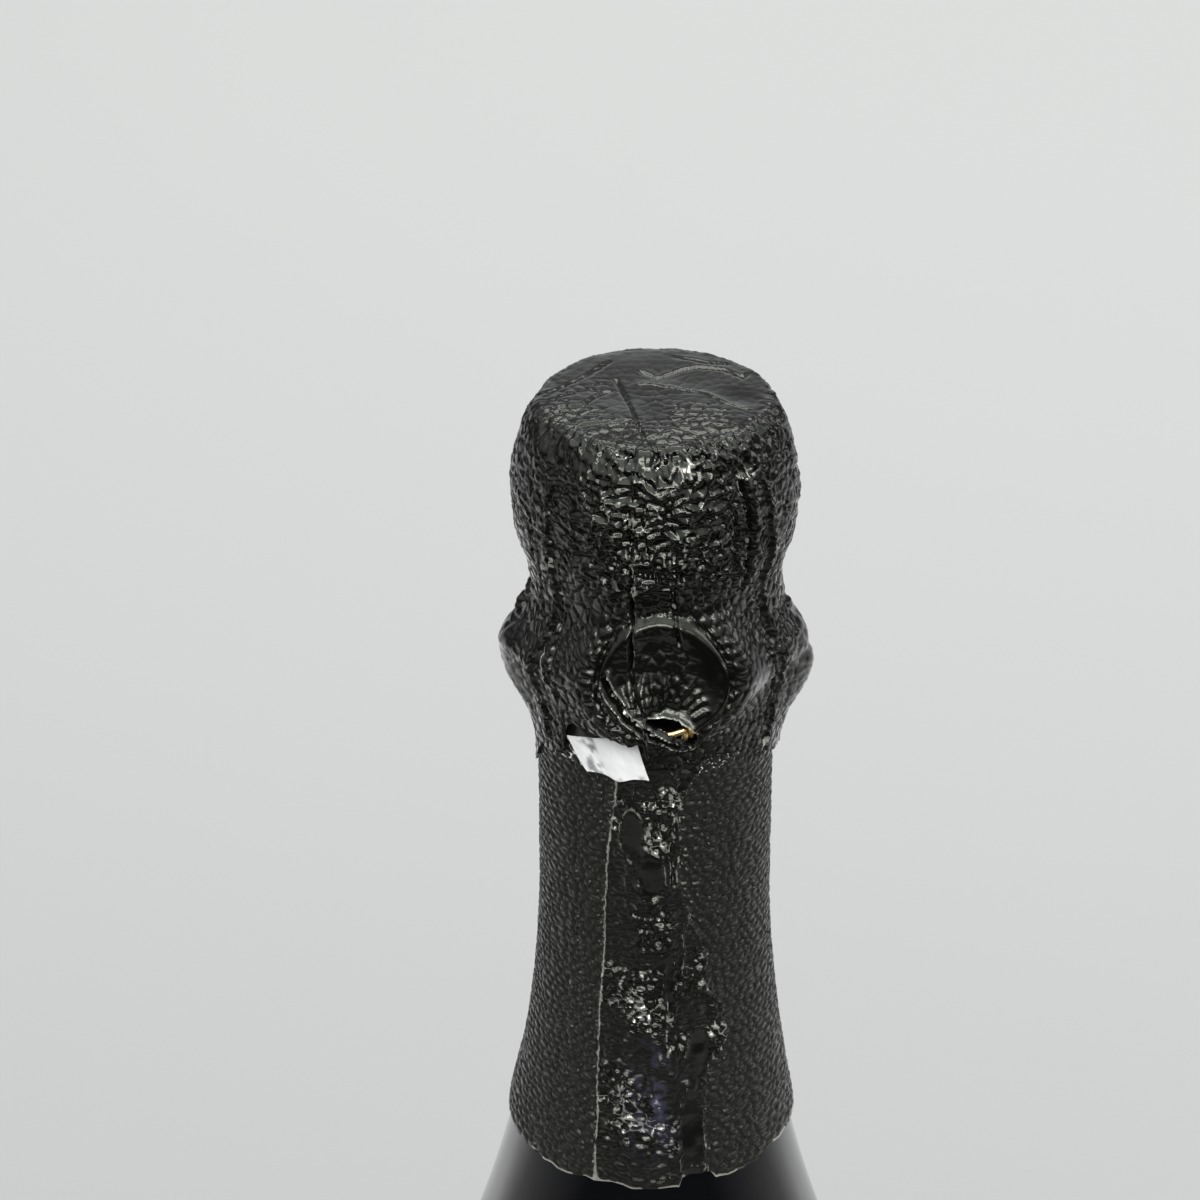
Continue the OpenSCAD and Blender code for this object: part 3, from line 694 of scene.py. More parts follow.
hoodShape = {
    "top": 319.82, "foil": 0.2, "ear": 3.1, "sag": 0.9, "foot": 270.0, "stripTop": 281.9, "sleeveR": 14.75,
    "crown": [(0, 0.04), (5, 0.02), (9.5, 0), (12.0, 0.04), (13.3, 0.16), (14.3, 0.55), (15.0, 1.5)],
    "rim": [(-180, 276.5), (-150, 276.8), (-120, 274), (-90, 269.8), (-78, 272.4), (-66, 275.6), (-50, 276.3),
            (-45.4, 276.9), (-43.8, 281.5), (-24, 282.8), (-4.4, 282.9), (-2.4, 278.2), (10, 277.8), (24, 278.5),
            (44, 278.1), (60, 275.6), (75, 273.9), (90, 272.8), (120, 275), (150, 277), (180, 276.5)],
    "left": [(269, 0), (271, -0.7), (274, -0.9), (279, -0.95), (284, -0.7), (286, -0.2), (288.3, -0.1),
             (290.2, -1.2), (291.6, -1.6), (293, -1.3), (294.5, -0.6), (297, -0.35), (300, -0.1), (303, 0.1),
             (308, -0.1), (316, -0.1)],
    "right": [(270, 0.3), (274, 0.4), (278, 0.35), (281, 0.5), (285, 0.4), (287, -0.1), (289.5, -0.1), (291.6, -0.7),
              (293, -0.7), (294.2, 0.0), (296, 0.3), (298, 0.0), (300, -0.05), (303, 0.1), (308, 0), (316, -0.1)],
}
h = hoodShape


def hoodColumns(front, fine, coarse):  # a multiple of four, close together in front
    dense = np.arange(-front, front, fine)
    more = int((360 - 2 * front) / coarse)
    more += -(len(dense) + more) % 4
    return np.concatenate([dense, np.linspace(front, 360 - front, more + 1)[:-1]])


legReach = sorted((z, x + pairR) for x, z in smoothPath(legPoints, 104)[16:])
hoodLow = [
    (h["foot"], h["sleeveR"] + 0.1), (274.2, h["sleeveR"] + 0.5), (h["stripTop"], 15.7),
    (eyeZ, beltR + w["wireR"] + 0.35), (collarZ - 2.5, b["collarR"] + stand + 0.2),
]


def ringSpot(a, z):  # place on the disc of foil over the ring, in millimetres from its middle
    return np.sin(np.radians(a)) * (beltR + 3) - w["loopX"] - 0.2, (z - w["loopZ"]) / 0.974 - 0.2


def overRing(a, z, plain):  # foil drawn tight over the ring and slack beyond it
    x, up = ringSpot(a, z)
    d = np.hypot(x, up)
    y = (-loopFootY - (up + w["loopR"]) * math.sin(math.radians(w["lean"]))
         - w["bow"] * np.clip(np.abs(x) / w["loopR"], 0, 1) ** 2)
    crest = (y + w["wireR"] + 0.5) / np.cos(np.radians(a)).clip(0.4)
    hollow = ramp(6.6, 4.2, d) * (0.62 + 0.2 * ramp(0, 5, -x))
    wall = 0.75 * ramp(7.25, 7.7, d) + 0.4 * bell(d - 7.85, 0.22) - 0.16 * bell(d - 7.2, 0.25)
    share = np.where(d > 7.7, bell(d - 7.7, 2.5 + 0.9 * ramp(2, 8, np.abs(x))), 1.0)
    ahead = np.abs(turned(a, 0)) < 62
    return np.where(ahead, share * np.clip(crest - hollow - wall - plain, 0, None), 0)


def hoodRadius(a, z):
    lowZ, lowR = zip(*hoodLow)
    legZ, legR = zip(*legReach)
    over = np.where(z > collarZ - 2.5, np.interp(z, legZ, legR) + 0.1, np.interp(z, lowZ, lowR))
    legs = np.max([bell(turned(a, x), 24) for x in w["legs"]], 0)
    eyes = np.max([bell(turned(a, x), 15) for x in w["legs"]], 0)
    ear = h["ear"] * bell(z - eyeZ + 1.6, 4.9) * eyes
    drawn = h["sag"] * (1 - legs) * np.clip((z - collarZ + 2.5) / 4, 0, 1)
    plain = over + ear - drawn + h["foil"]
    for side, angle in (("left", 270), ("right", 90)):
        heights, changes = zip(*h[side])
        plain = plain + np.interp(z, heights, changes) * bell(turned(a, angle), 30)
    return plain + overRing(a, z, plain)


def rimZ(a):
    angles, heights = zip(*h["rim"])
    worn = 0.22 * softNoise((a + 180) % 360 / 3.0, 0 * a, 1.0, 21, 120)
    return np.interp(turned(a, 0), angles, heights) + worn


def lay(angle, z, across=17.3):  # a place on the side of the hood as flat millimetres
    return math.radians(angle) * across, z


slitUpper = [(-5.2, 286.4), (-1.5, 286.7), (3.5, 286.8), (8.0, 286.4), (12.0, 285.5), (14.6, 284.5)]
slitLower = [(15.0, 283.4), (12.6, 283.0), (7.0, 284.3), (1.0, 285.5)]


def crownHeight(x, y, wearAndGlints):  # folded and smoothed foil on the crown
    far = ramp(1.5, 5.5, y + 1.2 * softNoise(x + 40, y + 40, 5.0, 7))
    flat = (0.14 - 0.08 * far) * softNoise(x + 40, y + 40, 5.0, 5) + 0.035 * softNoise(x + 40, y + 40, 2.1, 6)
    patchy = ramp(-0.5, 0.5, softNoise(x + 40, y + 40, 3.6, 4))
    lift = (0.03 + 0.17 * (1 - far) * patchy) * (pebbles(x + 40, y + 40, 1.6, 3) - 0.6)
    folds = [  # line, depth, wear
        ([(-4.8, 5.5), (-3.2, -1.5), (-1.9, -8.6), (-1.3, -11.0)], 0.26, 0.1),
        ([(-2.2, 7.7), (0.4, 5.2), (3.4, 7.7), (5.3, 8.3), (8.4, 7.7), (10.7, 5.8), (11.6, 7.7)], 0.26, 0.1),
        ([(-2.8, 3.7), (-0.5, 3.8), (3.6, 2.1), (6.4, 0.9), (8.7, -1.5), (11.5, -3.0)], -0.16, 0.9),
        ([(-10.5, -2.4), (-8.6, -2.1), (-7.3, 0.0), (-5.2, 2.1)], 0.24, 0.1),
        ([(-11.1, -12.0), (-10.1, -9.2), (-8.6, -7.1), (-5.2, -6.8), (-2.7, -6.2)], 0.26, 0.15),
        ([(-13.0, -5.1), (-10.9, -2.4)], 0.2, 0.1), ([(-1.2, -10.9), (1.4, -10.4)], 0.2, 0.1),
        ([(8.7, -10.9), (11.1, -5.7), (13.3, -3.8)], 0.24, 0.2),
        ([(-12.6, 1.8), (-8.0, 6.2), (-5.0, 10.5)], 0.2, 0.1), ([(2.0, 11.5), (6.5, 9.6), (9.6, 9.5)], 0.16, 0.1),
    ]
    for line, depth, worn in folds:
        d, turn, along = toLine(x, y, line)
        ends = ramp(0, 0.08, along) * ramp(0, 0.08, 1 - along)
        flat -= 1.2 * depth * bell(d, 0.2) * ends
        flat += 0.16 * abs(depth) * bell(d - 0.45, 0.6) * (turn > 0) * ends
        wearAndGlints += 0.75 * worn * bell(d, 0.12) * ends * (softNoise(x + 40, y + 40, 0.7, 9) > 0.2)
    return flat + lift


hoodFolds = [  # line in degrees and height, depth, width, wear with painted highlight on the ridge, step up to its right
    ([(-12.3, 313.2), (-10.1, 311.3), (-9.6, 305.6), (-9.2, 300.4)], -0.34, 0.2, 0.35, 0.12),
    ([(-9.2, 301.5), (-9.4, 296.5), (-9.6, 292.5), (-8.0, 289.6), (-5.0, 287.0)], -0.62, 0.24, 0.1, 0.0),
    ([(-8.7, 307.0), (-8.4, 301.0), (-8.6, 295.0), (-8.9, 291.5)], 0.2, 0.13, 0.6, 0.0),
    ([(-5.8, 311.4), (-4.1, 308.6), (-1.9, 305.4), (2.0, 303.4)], -0.26, 0.2, 0.15, 0.1),
    ([(11.8, 309.8), (11.5, 306.1), (9.0, 303.3), (6.4, 301.6)], -0.32, 0.2, 0.1, 0.1),
    ([(6.8, 302.2), (8.0, 300.0), (8.6, 297.2), (9.8, 295.2)], -0.5, 0.26, 0.05, 0.0),
    ([(38.5, 315.2), (41.8, 310.6), (42.7, 306.2), (43.4, 299.5)], -0.75, 0.5, 0.0, 0.0),
    ([(33.0, 312.0), (34.5, 308.0), (34.0, 304.0)], -0.3, 0.24, 0.1, 0.0),
    ([(51.0, 315.0), (54.4, 308.5), (57.0, 302.5), (58.8, 298.5), (62.5, 291.0), (62.0, 282.0), (59.5, 276.2)],
     0.34, 0.24, 0.35, 0.3),
    ([(55.0, 307.5), (59.5, 300.5), (63.8, 293.5), (66.5, 286.0), (64.0, 278.0)], 0.22, 0.2, 0.2, 0.0),
    ([(-49.5, 314.0), (-49.4, 305.5), (-51.3, 299.4), (-54.0, 294.0), (-57.5, 288.0), (-58.5, 283.0),
      (-55.1, 277.2)], 0.32, 0.22, 0.25, -0.3),
    ([(-52.5, 306.5), (-54.6, 299.0), (-57.5, 293.0), (-61.5, 287.0), (-61.5, 280.0)], 0.22, 0.2, 0.1, 0.0),
    ([(-49.2, 300.0), (-48.7, 293.5), (-46.9, 289.3), (-45.7, 284.8)], -0.34, 0.3, 0.2, 0.0),
    ([(-54.5, 291.5), (-49.5, 287.5), (-47.0, 283.5)], 0.22, 0.14, 0.8, 0.0),
    ([(54.5, 291.5), (57.2, 287.5), (58.4, 283.5), (57.4, 279.5)], -0.4, 0.26, 0.1, 0.0),
    ([(-62.0, 309.0), (-64.0, 300.0), (-70.0, 293.0)], -0.25, 0.3, 0.1, 0.1),
    ([(68.0, 310.0), (71.0, 302.0), (76.0, 296.0)], -0.25, 0.3, 0.1, -0.1),
    ([(130.0, 314.0), (127.0, 304.0), (131.0, 292.0), (128.0, 280.0)], 0.4, 0.4, 0.2, 0.2),
    ([(222.0, 315.0), (225.0, 303.0), (221.0, 291.0), (224.0, 279.0)], 0.4, 0.4, 0.2, -0.2),
    ([(171.0, 312.0), (173.0, 302.0), (172.0, 290.0)], -0.3, 0.25, 0.2, 0.1),
    ([(-20.5, 291.2), (-17.0, 288.9), (-11.5, 286.6), (-4.8, 284.8), (3.0, 283.3), (9.0, 282.3), (13.6, 281.9),
      (16.2, 283.2)], 0.85, 0.26, 0.66, 0.0),
    ([(-18.6, 292.4), (-15.0, 290.1), (-9.8, 287.6), (-3.4, 285.9), (3.6, 284.4), (9.5, 283.1)],
     0.7, 0.22, 0.66, 0.0),
    ([(-19.5, 291.8), (-16.0, 289.5), (-10.6, 287.1), (-4.1, 285.35), (3.3, 283.85), (9.3, 282.7)],
     -0.45, 0.14, 0.0, 0.0),
    ([(-24.0, 289.6), (-21.5, 287.6), (-17.5, 286.4), (-14.6, 284.2), (-10.0, 282.6), (-5.5, 281.2), (-6.2, 279.6)],
     0.26, 0.14, 0.55, 0.15),
    ([(26.5, 293.5), (24.6, 288.4), (19.5, 284.6), (15.6, 282.4)], 0.3, 0.5, 0.0, 0.0),
]
gathers = [  # wrinkles that spread from the root of the ring, in degrees and height
    [(-4.6, 286.9), (-8.0, 289.0), (-9.6, 291.8)], [(-3.6, 287.2), (-5.2, 289.6), (-4.6, 292.4)],
    [(-2.2, 287.5), (-1.6, 290.0), (-1.8, 292.0)], [(-0.4, 287.8), (1.4, 289.8), (3.2, 291.2)],
    [(2.4, 288.0), (4.0, 290.4), (6.6, 293.0)], [(5.0, 288.0), (8.0, 290.6), (13.0, 293.4)],
    [(7.2, 287.9), (11.4, 289.9), (16.6, 291.4)], [(9.6, 287.5), (14.4, 289.2), (18.6, 290.2)],
    [(11.2, 287.1), (15.8, 288.4), (19.6, 288.9)], [(12.6, 286.5), (16.6, 287.4), (19.8, 287.6)],
]


def sideHeight(a, z, wearAndGlints, shine):  # everything that is pressed, crushed or folded into the side
    across, flat = 17.3, np.radians(turned(a, 0)) * 17.3
    turn = 2 * math.pi * across
    u = np.radians((a + 180) % 360) * across
    many, few = round(turn / 1.6), round(turn / 2.1)
    slow = softNoise(u * 40 / turn, z / 2.8, 1.0, 71, 40)
    other = softNoise(u * 40 / turn, z / 2.8, 1.0, 72, 40)
    quick = softNoise(u * 90 / turn, z / 1.2, 1.0, 74, 90)
    grain = pebbles(u * many / turn + 0.25 * slow, z / 1.5 + 0.25 * other, 1.0, 31, many)
    middle = bell(turned(a, 2), 50)
    band = ramp(298.0, 305.5, z + 1.3 * slow) * ramp(321.4, 319.4, z)
    crushed = band * (0.12 + 0.88 * middle)
    facets = shards(u * few / turn + 0.42 * slow + 0.16 * quick, z / 1.15 + 0.42 * other, 41, few)
    fine = shards(u * 2 * few / turn + 0.5 * other, z / 0.75 + 0.5 * slow, 43, 2 * few)
    taut = np.max([bell(turned(a, x), 15) for x in (90, 270)], 0) * bell(z - 284, 7.0)
    x, up = ringSpot(a, z)
    d = np.hypot(x, up)
    ahead = np.abs(turned(a, 0)) < 62
    onDisc = ramp(7.9, 7.3, d) * ahead
    smoothSide = onDisc * ramp(4.6, 5.8, d) * ramp(0.5, 4.5, x) + onDisc * ramp(6.2, 6.7, d) * 0.8
    satin = ahead * bell(turned(a, 43), 11) * bell(z - 289, 5.5) * 0.75
    smooth = np.clip(taut + smoothSide + satin, 0, 1)
    out = 0.3 * (grain - 0.55) * (1 - 0.7 * crushed) * (1 - smooth) * (1 - 0.4 * onDisc)
    crease = creases(u * few / turn + 0.5 * other + 0.2 * quick, z / 1.05 + 0.5 * slow, 47, few)
    out += crushed * (0.7 * (facets - 0.5) + 0.2 * (fine - 0.5) + 0.45 * crease)
    out += 0.12 * (facets - 0.5) * (1 - crushed) * (1 - smooth)
    # painted glints: the bare colour laid on the crease crests of the crushed band
    wearAndGlints += 0.66 * crushed * ramp(0.5, 0.95, crease) * ramp(-0.2, 0.5, quick + 0.4 * slow)
    out += (0.16 * slow + 0.06 * quick) * (1 - 0.6 * smooth)
    for ear in (90, 270):  # fine wrinkles that run out from each ear
        ex, ey = np.radians(turned(a, ear)) * across, z - 284
        fan = np.arctan2(ey, ex)
        ripple = np.sin(15 * fan + 2.2 * softNoise(ex + 30, ey + 30, 2.4, 57))
        out += 0.09 * ripple * bell(np.hypot(ex, ey) - 4.5, 4.5)
    root = np.zeros(a.shape)
    for line in gathers:
        dist, left, along = toLine(flat, z, [lay(*q) for q in line])
        ends = ramp(0, 0.12, along) * ramp(0, 0.35, 1 - along)
        out += 0.3 * bell(dist, 0.2) * ends * ahead
        root = np.maximum(root, bell(dist, 0.55) * ramp(0.1, 0.5, 1 - along) * ahead)
        # the light lines on the gathers are partly wear and partly painted highlight
        wearAndGlints += 0.5 * bell(dist, 0.13) * ends * ahead * (softNoise(flat + 80, z, 0.5, 61) > 0.0)
    for line, depth, width, worn, step in hoodFolds:
        base = flat if abs(line[0][0]) < 100 else np.radians(a % 360) * across
        wobble = 0.2 * softNoise(base + 80, z, 1.3, 63) + 0.08 * softNoise(base + 80, z, 0.5, 64)
        dist, left, along = toLine(base + wobble, z, [lay(*q) for q in line])
        ends = ramp(0, 0.06, along) * ramp(0, 0.06, 1 - along)
        out += depth * bell(dist, width) * ends
        out += 0.3 * abs(depth) * bell(dist - width * 2.2, width * 1.6) * (depth < 0) * ends
        out += abs(step) * bell(dist, 1.6) * (left * np.sign(step) > 0) * ends
        # wear with painted highlight on fold ridges: from 0.56 up the line runs almost unbroken, as a lit ridge
        gaps = -0.1 if worn < 0.56 else -0.8
        wearAndGlints += worn * bell(dist, 0.15) * ends * (softNoise(base + 80, z, 0.55, 67) > gaps)
    # painted glints on the highest facets of the crushed band
    wearAndGlints += 0.4 * crushed * ramp(0.8, 0.95, facets) * (quick > 0.25)
    fx, fy = flat - lay(-49.0, 0)[0], z - 299.3
    wearAndGlints += 1.0 * bell(fx, 0.45) * ramp(6.5, 4.5, np.abs(fy)) * (softNoise(flat + 80, z, 0.5, 65) > 0.3)
    # painted glints at the right of the crown's edge
    wearAndGlints += 0.7 * bell(turned(a, 46), 7) * bell(z - 315.2, 1.6) * ramp(0.55, 0.95, crease)
    lip = toLine(flat, z, [lay(*q) for q in slitUpper])[0]
    out += 0.3 * bell(lip, 0.32) * ahead
    wearAndGlints += 0.75 * bell(lip - 0.05, 0.17) * ahead
    corner = bell(turned(a, 59.5), 2.6) * bell(z - rimZ(a) - 0.6, 1.3)
    out += 0.35 * corner * quick
    wearAndGlints += 1.2 * corner * (quick > -0.1)
    wearAndGlints += 0.25 * bell(z - rimZ(a), 0.16)
    shine += 0.65 + 0.35 * crushed + 0.15 * smooth + 0.15 * root
    return out


hoodA = hoodColumns(84, 0.62, 1.4)
crownR = np.concatenate([[0.35], np.linspace(0.8, 12.6, 44)])
cornerSteps, sideZ = 15, np.linspace(316.2, collarZ - 0.5, 112)
lowShare = np.linspace(0, 1, 49)[1:]


def hoodGrid():
    count = len(hoodA)
    back = ramp(58, 112, np.abs(turned(hoodA, 0)))
    sides = np.maximum(bell(turned(hoodA, 97), 34), bell(turned(hoodA, 263), 34))
    front = bell(turned(hoodA, -2), 52)
    crown = np.array(h["crown"])
    wide = back * (0.085 + 0.055 * bell(turned(hoodA, 126), 27) + 0.035 * bell(turned(hoodA, 205), 30))
    rows = []

    def down(r):
        return (np.interp(r, crown[:, 0], crown[:, 1]) + 0.4 * sides * ramp(6, 13, r)
                + 0.4 * front * ramp(8.5, 14.0, r))

    for r in crownR:
        reach = r * (1 + wide * ramp(4, 12, r))
        rows.append(np.stack([hoodA, reach + 0 * hoodA, h["top"] + 0.1 * back * ramp(6, 11, r) - down(r)], 1))
    r0, z0 = crownR[-1] * (1 + wide), h["top"] + 0.1 * back - down(crownR[-1])
    r1 = hoodRadius(hoodA, 316.2 + 0 * hoodA)
    for t in np.linspace(0, 1, cornerSteps + 1)[1:-1]:  # rounded edge of the crown
        knee = np.maximum(r1 - 0.75 - 0.25 * sides - 1.1 * front, 14.0)
        r = (1 - t) ** 2 * r0 + 2 * t * (1 - t) * knee + t * t * r1
        z = (1 - t) ** 2 * z0 + 2 * t * (1 - t) * (z0 - 0.1 - 0.35 * front) + t * t * 316.2
        rows.append(np.stack([hoodA, r, z], 1))
    for z in sideZ:
        rows.append(np.stack([hoodA, hoodRadius(hoodA, z + 0 * hoodA), z + 0 * hoodA], 1))
    for t in lowShare:
        z = sideZ[-1] + (rimZ(hoodA) - sideZ[-1]) * t
        rows.append(np.stack([hoodA, hoodRadius(hoodA, z), z], 1))
    return np.array(rows)


def insideOf(u, v, loop):  # even-odd test against a closed loop of points
    hit = np.zeros(u.shape, bool)
    for k in range(len(loop)):
        (ax, ay), (bx, by) = loop[k], loop[(k + 1) % len(loop)]
        crosses = (ay > v) != (by > v)
        hit ^= crosses & (u < (bx - ax) * (v - ay) / ((by - ay) or 1e-9) + ax)
    return hit


def snapTo(a, z, loop, reach):  # pulls grid places near a loop onto it, so that a cut along it is clean
    u = np.radians(turned(a, 0)) * 17.3
    best, toU, toV = np.full(u.shape, 1e9), u.copy(), z.copy()
    for k in range(len(loop)):
        (ax, ay), (bx, by) = loop[k], loop[(k + 1) % len(loop)]
        t = np.clip(((u - ax) * (bx - ax) + (z - ay) * (by - ay)) / ((bx - ax) ** 2 + (by - ay) ** 2), 0, 1)
        px, py = ax + t * (bx - ax), ay + t * (by - ay)
        d = np.hypot(u - px, z - py)
        toU, toV = np.where(d < best, px, toU), np.where(d < best, py, toV)
        best = np.minimum(best, d)
    near = (best < reach) & (np.abs(turned(a, 0)) < 60)
    return np.where(near, np.degrees(toU / 17.3), a), np.where(near, toV, z)


def flapOutline():  # circle over the ring, cut off below by the torn slit
    low = [lay(*q) for q in [(-22, 292.5), (-16, 289.8), (-9, 287.4), (-5.6, 286.4)]]
    low += [lay(*q) for q in slitUpper] + [lay(22, 286.0)]
    lowX, lowV = zip(*low)
    loop = []
    for t in np.linspace(0, 2 * np.pi, 60, endpoint=False):
        x = 0.85 + 7.95 * math.sin(t)
        loop.append((x, max(w["loopZ"] + 0.3 + 7.9 * math.cos(t), np.interp(x, lowX, lowV))))
    return loop


slitLoop, flapLoop = [lay(*q) for q in slitUpper + slitLower], flapOutline()
grid = hoodGrid()
angleAt, baseR, heightAt = grid[..., 0].copy(), grid[..., 1].copy(), grid[..., 2].copy()
firstSide = len(crownR) + cornerSteps - 1
sideRows = slice(firstSide, len(grid))
for loop in (flapLoop, slitLoop):
    angleAt[sideRows], heightAt[sideRows] = snapTo(angleAt[sideRows], heightAt[sideRows], loop, 0.12)
baseR[sideRows] = hoodRadius(angleAt[sideRows], heightAt[sideRows])
for k in range(4):  # rounds the straight pieces of the plain profile
    middle = baseR[firstSide:-1]
    baseR[firstSide:-1] = 0.5 * middle + 0.25 * (baseR[firstSide - 1:-2] + baseR[firstSide + 1:])


def hoodRelief():
    crownX, crownY = baseR * np.sin(np.radians(angleAt)), -baseR * np.cos(np.radians(angleAt))
    crownWear, sideWearAndGlints, sideShine = np.zeros((3,) + baseR.shape)
    up = crownHeight(crownX, crownY, crownWear)
    drawn = heightAt.copy()  # over the crown's edge the pattern keeps its size along the foil
    for k in range(firstSide - 1, -1, -1):
        drawn[k] = drawn[k + 1] + np.hypot(baseR[k] - baseR[k + 1], heightAt[k] - heightAt[k + 1])
    out = sideHeight(angleAt, drawn, sideWearAndGlints, sideShine)
    rows = np.arange(len(grid))
    low = ramp(len(crownR) - 5, len(crownR) + 6, rows)[:, None]
    ruck = crushedGrains((crownX + 40) / 1.5, (crownY + heightAt * 1.3) / 1.5, 77, 0)
    rucked = bell(rows - len(crownR) - 4, 9)[:, None] * (0.25 + 0.75 * bell(turned(angleAt, 0), 62))
    lift = up * (1 - low) + out * low + 0.3 * rucked * (ruck - 0.62)
    # painted highlights along the rucked edge of the crown are added to the wear
    wearAndGlints = crownWear * (1 - low) + sideWearAndGlints * low + 0.3 * rucked * ramp(0.95, 1.25, ruck)
    shine = 0.6 * (1 - low) + sideShine * low + 0.3 * rucked
    tilt = np.clip((rows - len(crownR) + 2) / 15, 0, 1)[:, None] * np.pi / 2
    return lift, wearAndGlints, shine, tilt


lift, wearAndGlints, shine, tilt = hoodRelief()


def overWires(reach):  # how far the foil must stand out to clear every wire by the reach
    turn = np.radians(angleAt)
    way = np.stack([np.sin(turn) * np.sin(tilt), -np.cos(turn) * np.sin(tilt), np.cos(tilt) + 0 * turn], -1)
    spots = np.stack([baseR * np.sin(turn), -baseR * np.cos(turn), heightAt], -1)
    need = np.full(baseR.shape, -9.0)
    for spot in np.concatenate([spun(legWire, x - 90)[::2] for x in w["legs"]] + [np.array(topRing)]):
        near = np.nonzero(np.abs(spots - spot).max(-1) < 2)
        away = spot - spots[near]
        high = (away * way[near]).sum(-1)
        left = reach ** 2 - (away ** 2).sum(-1) + high ** 2
        need[near] = np.maximum(need[near], np.where(left > 0, high + np.sqrt(left.clip(0)), -9))
    return need


def under(amount):  # keeps the crown below the bottle's full height
    return np.where(heightAt + amount * np.cos(tilt) > 320, (320 - heightAt) / np.cos(tilt).clip(0.05), amount)


lift = under(np.maximum(lift, overWires(w["wireR"] + 0.27)))


def raised(amount):
    r = np.maximum(baseR + amount * np.sin(tilt), 0.05)
    return np.stack([r * np.sin(np.radians(angleAt)), -r * np.cos(np.radians(angleAt)),
                     heightAt + amount * np.cos(tilt)], -1)


def softened(values, times):
    for k in range(times):
        values = (values + np.roll(values, 1, 1) + np.roll(values, -1, 1)) / 3
        values[1:-1] = (values[1:-1] + values[:-2] + values[2:]) / 3
    return values


outer = raised(lift)
inner = raised(np.maximum(np.minimum(softened(lift, 6) - h["foil"] - 0.12, lift - h["foil"]),
                          overWires(w["wireR"] + 0.04)))


def foilShell(outer, inner, keep, capped, step):
    # closed sheet: outer faces where keep, inner faces in blocks of step where nothing is cut, and walls on the cuts
    rows, count = outer.shape[:2]
    size = rows * count
    faces, slots = [], []

    def at(k, i, deep):
        return deep * size + k * count + i % count

    whole = np.zeros(keep.shape, bool)  # fine cells that lie in an uncut block
    for k in range(0, rows - 1, step):
        for i in range(0, count, step):
            if step > 1 and k + step <= rows - 1 and keep[k:k + step, i:i + step].all():
                whole[k:k + step, i:i + step] = True
    for k in range(rows - 1):
        for i in range(count):
            if not keep[k, i]:
                continue
            faces.append([at(k, i, 0), at(k + 1, i, 0), at(k + 1, i + 1, 0), at(k, i + 1, 0)])
            slots.append(0)
            if not whole[k, i]:
                faces.append([at(k, i, 1), at(k, i + 1, 1), at(k + 1, i + 1, 1), at(k + 1, i, 1)])
                slots.append(1)
            walls = []
            if k + 1 == rows - 1 or not keep[k + 1, i]:
                walls.append([at(k + 1, i, 0), at(k + 1, i, 1), at(k + 1, i + 1, 1), at(k + 1, i + 1, 0)])
            if (k == 0 and not capped) or (k > 0 and not keep[k - 1, i]):
                walls.append([at(k, i, 0), at(k, i + 1, 0), at(k, i + 1, 1), at(k, i, 1)])
            if not keep[k, (i + 1) % count]:
                walls.append([at(k, i + 1, 0), at(k + 1, i + 1, 0), at(k + 1, i + 1, 1), at(k, i + 1, 1)])
            if not keep[k, i - 1]:
                walls.append([at(k, i, 0), at(k, i, 1), at(k + 1, i, 1), at(k + 1, i, 0)])
            faces += walls
            slots += [0] * len(walls)

    def edge(cells, points):  # an edge of a block keeps its fine points where a fine cell, a wall or the cap meets it
        return points if cells is None or not cells.all() else [points[0], points[-1]]

    for k in range(0, rows - 1, step):
        for i in range(0, count, step):
            if not whole[k, i]:
                continue
            n, far = step, (i + step) % count
            top = edge(whole[k - 1, i:i + n] if k else None, [at(k, i + m, 1) for m in range(n + 1)])
            right = edge(whole[k:k + n, far], [at(k + m, i + n, 1) for m in range(n + 1)])
            low = edge(whole[k + n, i:i + n] if k + n < rows - 1 else None,
                       [at(k + n, i + n - m, 1) for m in range(n + 1)])
            left = edge(whole[k:k + n, i - 1], [at(k + n - m, i, 1) for m in range(n + 1)])
            faces.append(top[:-1] + right[:-1] + low[:-1] + left[:-1])
            slots.append(1)
    points = np.concatenate([outer.reshape(-1, 3), inner.reshape(-1, 3)])
    if capped:
        points = np.concatenate([points, [outer[0].mean(0), inner[0].mean(0)]])
        for i in range(count):
            faces += [[2 * size, at(0, i, 0), at(0, i + 1, 0)], [2 * size + 1, at(0, i + 1, 1), at(0, i, 1)]]
            slots += [0, 1]
    used = np.zeros(len(points), bool)
    for f in faces:
        used[f] = True
    renumber = np.cumsum(used) - 1
    return points[used], [[int(renumber[v]) for v in f] for f in faces], slots, used


def middles(values):
    values = (values[:-1] + values[1:]) / 2
    return (values + np.roll(values, -1, 1)) / 2


midU, midV = middles(np.radians(turned(angleAt, 0)) * 17.3), middles(heightAt)
facing = (np.abs(midU) < 15) & (middles(np.cos(np.radians(angleAt))) > 0)
facing &= (np.arange(len(grid) - 1) >= firstSide)[:, None]
inSlit = insideOf(midU, midV, slitLoop) & facing
inFlap = insideOf(midU, midV, flapLoop) & facing & ~inSlit
for name, keep, body, nodes, capped, step in (
    ("foilHood", ~inSlit & ~inFlap, "hood", ["foil_hood"], True, 4),
    ("foilRingFlap", inFlap, "ring", [], False, 1),
):
    points, faces, slots, used = foilShell(outer, inner, keep, capped, step)
    fields = {}
    for key, values in (("wearAndGlints", wearAndGlints), ("shine", shine), ("violet", wearAndGlints * 0)):
        flat = np.concatenate([values.ravel(), values.ravel()] + ([[0, 0]] if capped else []))
        fields[key] = flat[used]
    makePiece(name, points, faces, [foil, foilInside], body, "black_foil", nodes, slots, sharp=75, fields=fields)
    print(name, len(faces), "faces")
print("hood drawn over the cage")


# Foil sleeve on the neck, with the overlap of its seam in front

